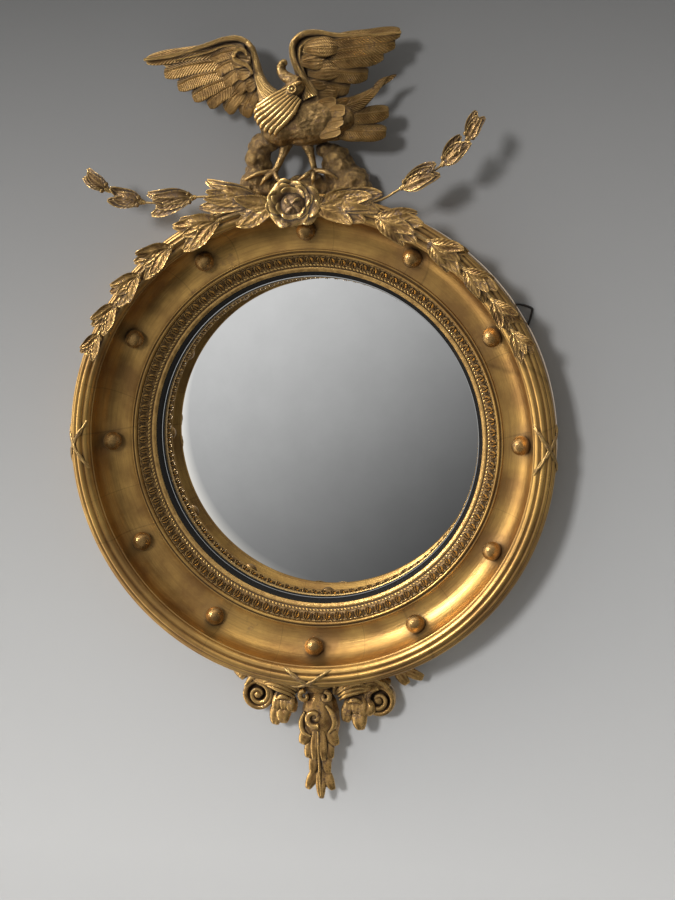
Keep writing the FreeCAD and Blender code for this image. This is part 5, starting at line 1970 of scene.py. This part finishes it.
    def drop(self) -> None:
        """Carves the acanthus drop: bulb, waist, wrapping leaves, keel, curl and three lobes."""
        profile = [(-350, 14), (-364, 23), (-380, 27), (-397, 28), (-413, 25), (-431, 20), (-449, 16),
                   (-466, 13), (-480, 12), (-492, 9)]
        core = limb("core", [at(2, z, 28) for z, _ in profile], [half for _, half in profile], flat=0.66)
        bulb = carved_from([core], "bulb", 1.2, 2)
        parts = [bulb]
        for root, tip, width, high in (((-8, -396), (-25, -430), 22, 37), ((11, -396), (28, -429), 22, 37),
                                       ((-6, -414), (-16, -450), 20, 37), ((9, -414), (19, -449), 20, 37),
                                       ((-4, -432), (-10, -474), 16, 36), ((8, -432), (14, -473), 16, 36),
                                       ((-1, -458), (-19, -497), 18, 34), ((5, -458), (21, -496), 18, 34),
                                       ((-2, -398), (-5, -452), 14, 43), ((6, -398), (9, -452), 14, 43),
                                       ((2, -458), (3, -510), 17, 36)):
            parts.append(self.tongue.lay(at(*root, high), at(*tip, high), OUT, width, 0.45))
        parts.append(limb("keel", [at(2, -404, 48), at(2, -430, 46), at(2, -465, 42), at(3, -502, 40)],
                          [1.2, 2.0, 1.8, 1.0]))
        parts.append(self.scroll((-3, -386), 13.0, 1.15, -1, 47, 4.8, start=-60.0))
        for path in (((13, -368, 43), (22, -380, 43), (24, -396, 42), (16, -408, 44)),
                     ((-18, -380, 40), (-23, -394, 40), (-20, -408, 42), (-9, -414, 44))):
            parts.append(limb("crescent", [at(*point) for point in path], [2.0, 4.2, 4.0, 1.6]))
        self.set_on(parts, "apron_drop_carved", "apron_pendant")


# ------------------------------------------------------------------------------------------ back and hangers
@dataclass
class Back:
    """The joinery and iron on the back, whose solids stay and take their own finishes.

    Attributes:
        finishes: the mirror's finishes.
        nodes: the frame's nodes by name.
    """

    finishes: Finishes
    nodes: dict[str, bpy.types.Object]

    def dress(self) -> None:
        """Gives each carried-over node its material."""
        plan = {"backboard": self.finishes.pine, "glazing_blocks": self.finishes.pine,
                "crest_batten_left": self.finishes.oak, "crest_batten_right": self.finishes.oak,
                "apron_batten": self.finishes.oak, "backboard_nails": self.finishes.nail,
                "crest_nails": self.finishes.nail, "apron_nails": self.finishes.nail,
                "hanger_screws": self.finishes.nail, "hanger_strap_left": self.finishes.iron,
                "hanger_strap_right": self.finishes.iron}
        for name, material in plan.items():
            mesh = self.nodes[name].data
            mesh.materials.clear()
            mesh.materials.append(material)
            log.info("%s keeps its solid in %s", name, material.name)


@dataclass
class HangerLoops:
    """The two swinging iron loops, each a bent bar on its pin.

    Attributes:
        finish: the iron.
        pin: the right pin's place on the front view, in millimetres.
        lean: of the straps off the level, in degrees.
        half: half of a loop's width.
        length: how far it reaches from its pin.
        bar: the bar's radius.
        corner: radius of its bends.
    """

    finish: bpy.types.Material
    pin: Pair = HANGER_PIN
    lean: float = HANGER_LEAN
    half: float = 11.3
    length: float = 25.3
    bar: float = 1.7
    corner: float = 3.0

    def build(self) -> None:
        """Bends both loops."""
        for side, word in ((-1, "left"), (1, "right")):
            lean = math.radians(self.lean)
            along = Vector((side * math.cos(lean), 0, math.sin(lean))) * MM
            across = Vector((math.sin(lean), 0, -side * math.cos(lean))) * MM
            foot = at(side * self.pin[0], self.pin[1], PIN_HEIGHT)
            path = []
            ends = (0, -self.half), (self.length, -self.half), (self.length, self.half), (0, self.half)
            for a, c in ends:
                inward = (self.corner if a == 0 else -self.corner, self.corner if c < 0 else -self.corner)
                first = foot + along * (a + inward[0]) + across * c
                middle = foot + along * (a + inward[0] * 0.29) + across * (c + inward[1] * 0.29)
                bend = [first, middle, foot + along * a + across * (c + inward[1])]
                path += bend if (a, c) in ((self.length, -self.half), (0, self.half)) else bend[::-1]
            loop = limb(f"hanger_loop_{word}_bent", path, [self.bar] * len(path), steps=4, sides=3, loop=True)
            smooth(loop, 60)
            mount(loop, self.finish, "black_iron", f"hanger_loop_{word}", body=f"loop_{word}")


# ------------------------------------------------------------------------------------------ the room
@dataclass(frozen=True)
class Lamp:
    """An area lamp that faces the mirror.

    Attributes:
        name: its name.
        place: where it hangs, in metres.
        size: its side, in metres.
        power: in watts.
        glints: True for one seen only as a glint, False for one that only lights.
    """

    name: str
    place: Triple
    size: float
    power: float
    glints: bool


@dataclass
class Room:
    """A plain wall and floor, soft lamps and the camera, none of which belongs to the mirror.

    Attributes:
        wall_low: the wall's colour at the mirror's foot.
        wall_high: its colour at the top, darker with painted shade.
        gap: room between the mirror's back and the wall, in metres.
        near: how close to the wall light may pass it, in metres.
        hung: the lamps.
        viewpoint: where the camera stands, in metres.
        target: what it looks at.
        roll: its roll, in degrees.
        lens: its focal length, in millimetres.
        sensor: its sensor's width.
    """

    wall_low: Colour = (0.50, 0.50, 0.50)
    wall_high: Colour = (0.10, 0.10, 0.10)
    gap: float = 0.0012
    near: float = 0.02
    hung: Sequence[Lamp] = (Lamp("key", (-0.80, -3.6, 1.0), 0.5, 102.0, False),
                            Lamp("glint", (-2.3, -1.9, 1.5), 1.0, 80.0, True))
    viewpoint: Triple = (0.4219, -1.8172, 0.2411)
    target: Triple = (0.0444, -0.084, -0.0044)
    roll: float = -0.951
    lens: float = 54.43
    sensor: float = 36.0

    def build(self) -> None:
        """Sets up the room."""
        self.wall()
        self.floor()
        self.lamps()
        self.air()
        self.camera()
        bpy.context.scene.view_settings.view_transform = "Standard"

    def wall(self) -> None:
        """Stands the wall behind the mirror; it lets sight and light through from behind."""
        clear_hands()
        bpy.ops.mesh.primitive_plane_add(size=1.0, location=(0, self.gap, 0.25), rotation=(math.pi / 2, 0, 0))
        wall = named("wall")
        wall.scale = (6.0, 2.6, 1)
        rest_at_origin(wall)
        material, hand, shader = blank_material("painted_wall")
        # The wall's colour darkens from foot to top: painted shade.
        rise = hand.spread(hand.axes(hand.place())[2], -0.62, 0.62)
        hand.feed(shader.inputs["Base Color"], hand.mix(rise, self.wall_low, self.wall_high))
        shader.inputs["Roughness"].default_value = 0.95
        shader.inputs["Specular IOR Level"].default_value = 0.1
        clear = hand.node("ShaderNodeBsdfTransparent")
        side = hand.node("ShaderNodeNewGeometry").outputs["Backfacing"]
        length = hand.node("ShaderNodeLightPath").outputs["Ray Length"]
        close = hand.sums("LESS_THAN", length, self.near)
        blend = hand.node("ShaderNodeMixShader")
        hand.feed(blend.inputs[0], hand.sums("MAXIMUM", side, close))
        hand.feed(blend.inputs[1], shader.outputs[0])
        hand.feed(blend.inputs[2], clear.outputs[0])
        hand.feed(material.node_tree.nodes["Material Output"].inputs["Surface"], blend.outputs[0])
        wall.data.materials.append(material)

    def floor(self) -> None:
        """Lays the floor below."""
        clear_hands()
        bpy.ops.mesh.primitive_plane_add(size=1.0, location=(0, -2.0, -1.05))
        floor = named("floor")
        floor.scale = (12.0, 12.0, 1)
        rest_at_origin(floor)
        material, hand, shader = blank_material("pale_floor")
        shader.inputs["Roughness"].default_value = 0.9
        cloudy = hand.mix(hand.noise(hand.place(), 3.0), (0.38, 0.38, 0.38), (0.43, 0.43, 0.42))
        hand.feed(shader.inputs["Base Color"], cloudy)
        floor.data.materials.append(material)
        floor.visible_glossy = False

    def lamps(self) -> None:
        """Hangs a soft key lamp in front, up and to the left, and a weak one that glints on the gold."""
        for plan in self.hung:
            place = Vector(plan.place)
            clear_hands()
            bpy.ops.object.light_add(type="AREA", location=place)
            lamp = bpy.context.object
            lamp.name = plan.name
            lamp.data.size = plan.size
            lamp.data.energy = plan.power
            lamp.data.cycles.use_multiple_importance_sampling = False
            lamp.visible_glossy = plan.glints
            lamp.visible_diffuse = not plan.glints
            lamp.rotation_euler = (-place).to_track_quat("-Z", "Y").to_euler()

    def air(self) -> None:
        """Lights the room evenly, a little brighter from the upper left, as the glass shows it."""
        world = bpy.data.worlds.new("room_light")
        bpy.context.scene.world = world
        world.use_nodes = True
        hand = Sheet(world.node_tree)
        way = hand.node("ShaderNodeTexCoord").outputs["Generated"]

        def towards(side: Triple) -> bpy.types.NodeSocket:
            """Measures how far a line of sight points to one side.

            Args:
                side: the side.

            Returns:
                The measure, -1 to 1.
            """
            node = hand.node("ShaderNodeVectorMath", operation="DOT_PRODUCT")
            hand.feed(node.inputs[0], way)
            node.inputs[1].default_value = Vector(side).normalized()
            return node.outputs["Value"]

        rise = hand.sums("POWER", hand.spread(towards((-0.62, -0.25, 0.74)), -0.75, 0.95), 1.5)
        even = hand.mix(rise, (0.075, 0.075, 0.075), (0.72, 0.72, 0.72))
        window = hand.spread(towards((-0.90, -0.10, 0.42)), -0.15, 0.80)
        beside = hand.mix(window, (0.010, 0.009, 0.008), (4.1, 3.9, 3.5))
        depth = hand.axes(way)[1]
        ahead = hand.spread(hand.times(depth, -1.0), 0.10, 0.55)
        behind = hand.spread(depth, 0.02, 0.30)
        light = hand.mix(behind, hand.mix(ahead, beside, even), (0.62, 0.62, 0.62))
        hand.feed(world.node_tree.nodes["Background"].inputs["Color"], light)

    def camera(self) -> None:
        """Stands the camera where the photograph was taken from."""
        place = Vector(self.viewpoint)
        ahead = (Vector(self.target) - place).normalized()
        right = ahead.cross(Vector((0, 0, 1))).normalized()
        up = right.cross(ahead)
        roll = math.radians(self.roll)
        level = right * math.cos(roll) + up * math.sin(roll)
        upright = up * math.cos(roll) - right * math.sin(roll)
        turn = Matrix((level, upright, -ahead)).transposed().to_4x4()
        clear_hands()
        bpy.ops.object.camera_add()
        camera = bpy.context.object
        camera.name = "viewpoint"
        camera.matrix_world = Matrix.Translation(place) @ turn
        camera.data.lens = self.lens
        camera.data.sensor_width = self.sensor
        bpy.context.scene.camera = camera


def main() -> None:
    """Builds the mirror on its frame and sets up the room."""
    logging.basicConfig(level=logging.INFO, format="%(message)s")
    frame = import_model()
    finishes = Finishes()
    Mouldings(finishes.cove).build()
    LeafBand(finishes.band).build()
    SlipAndGlass(finishes.ebony, finishes.glass).build()
    CoveBalls(finishes.balls).build()
    RibbonTies(finishes.trim).build()
    Laurel(finishes.laurel, finishes.sprays, finishes.wire).build()
    Rose(finishes.rose, finishes.bud).build()
    Rockwork(finishes.rock).build()
    Eagle(finishes.eagle, finishes.feathers, finishes.plumes).build()
    Apron(finishes.carving).build()
    Back(finishes, frame["nodes"]).dress()
    HangerLoops(finishes.iron).build()
    Room().build()
    clear_hands()


if __name__ == "__main__":
    main()
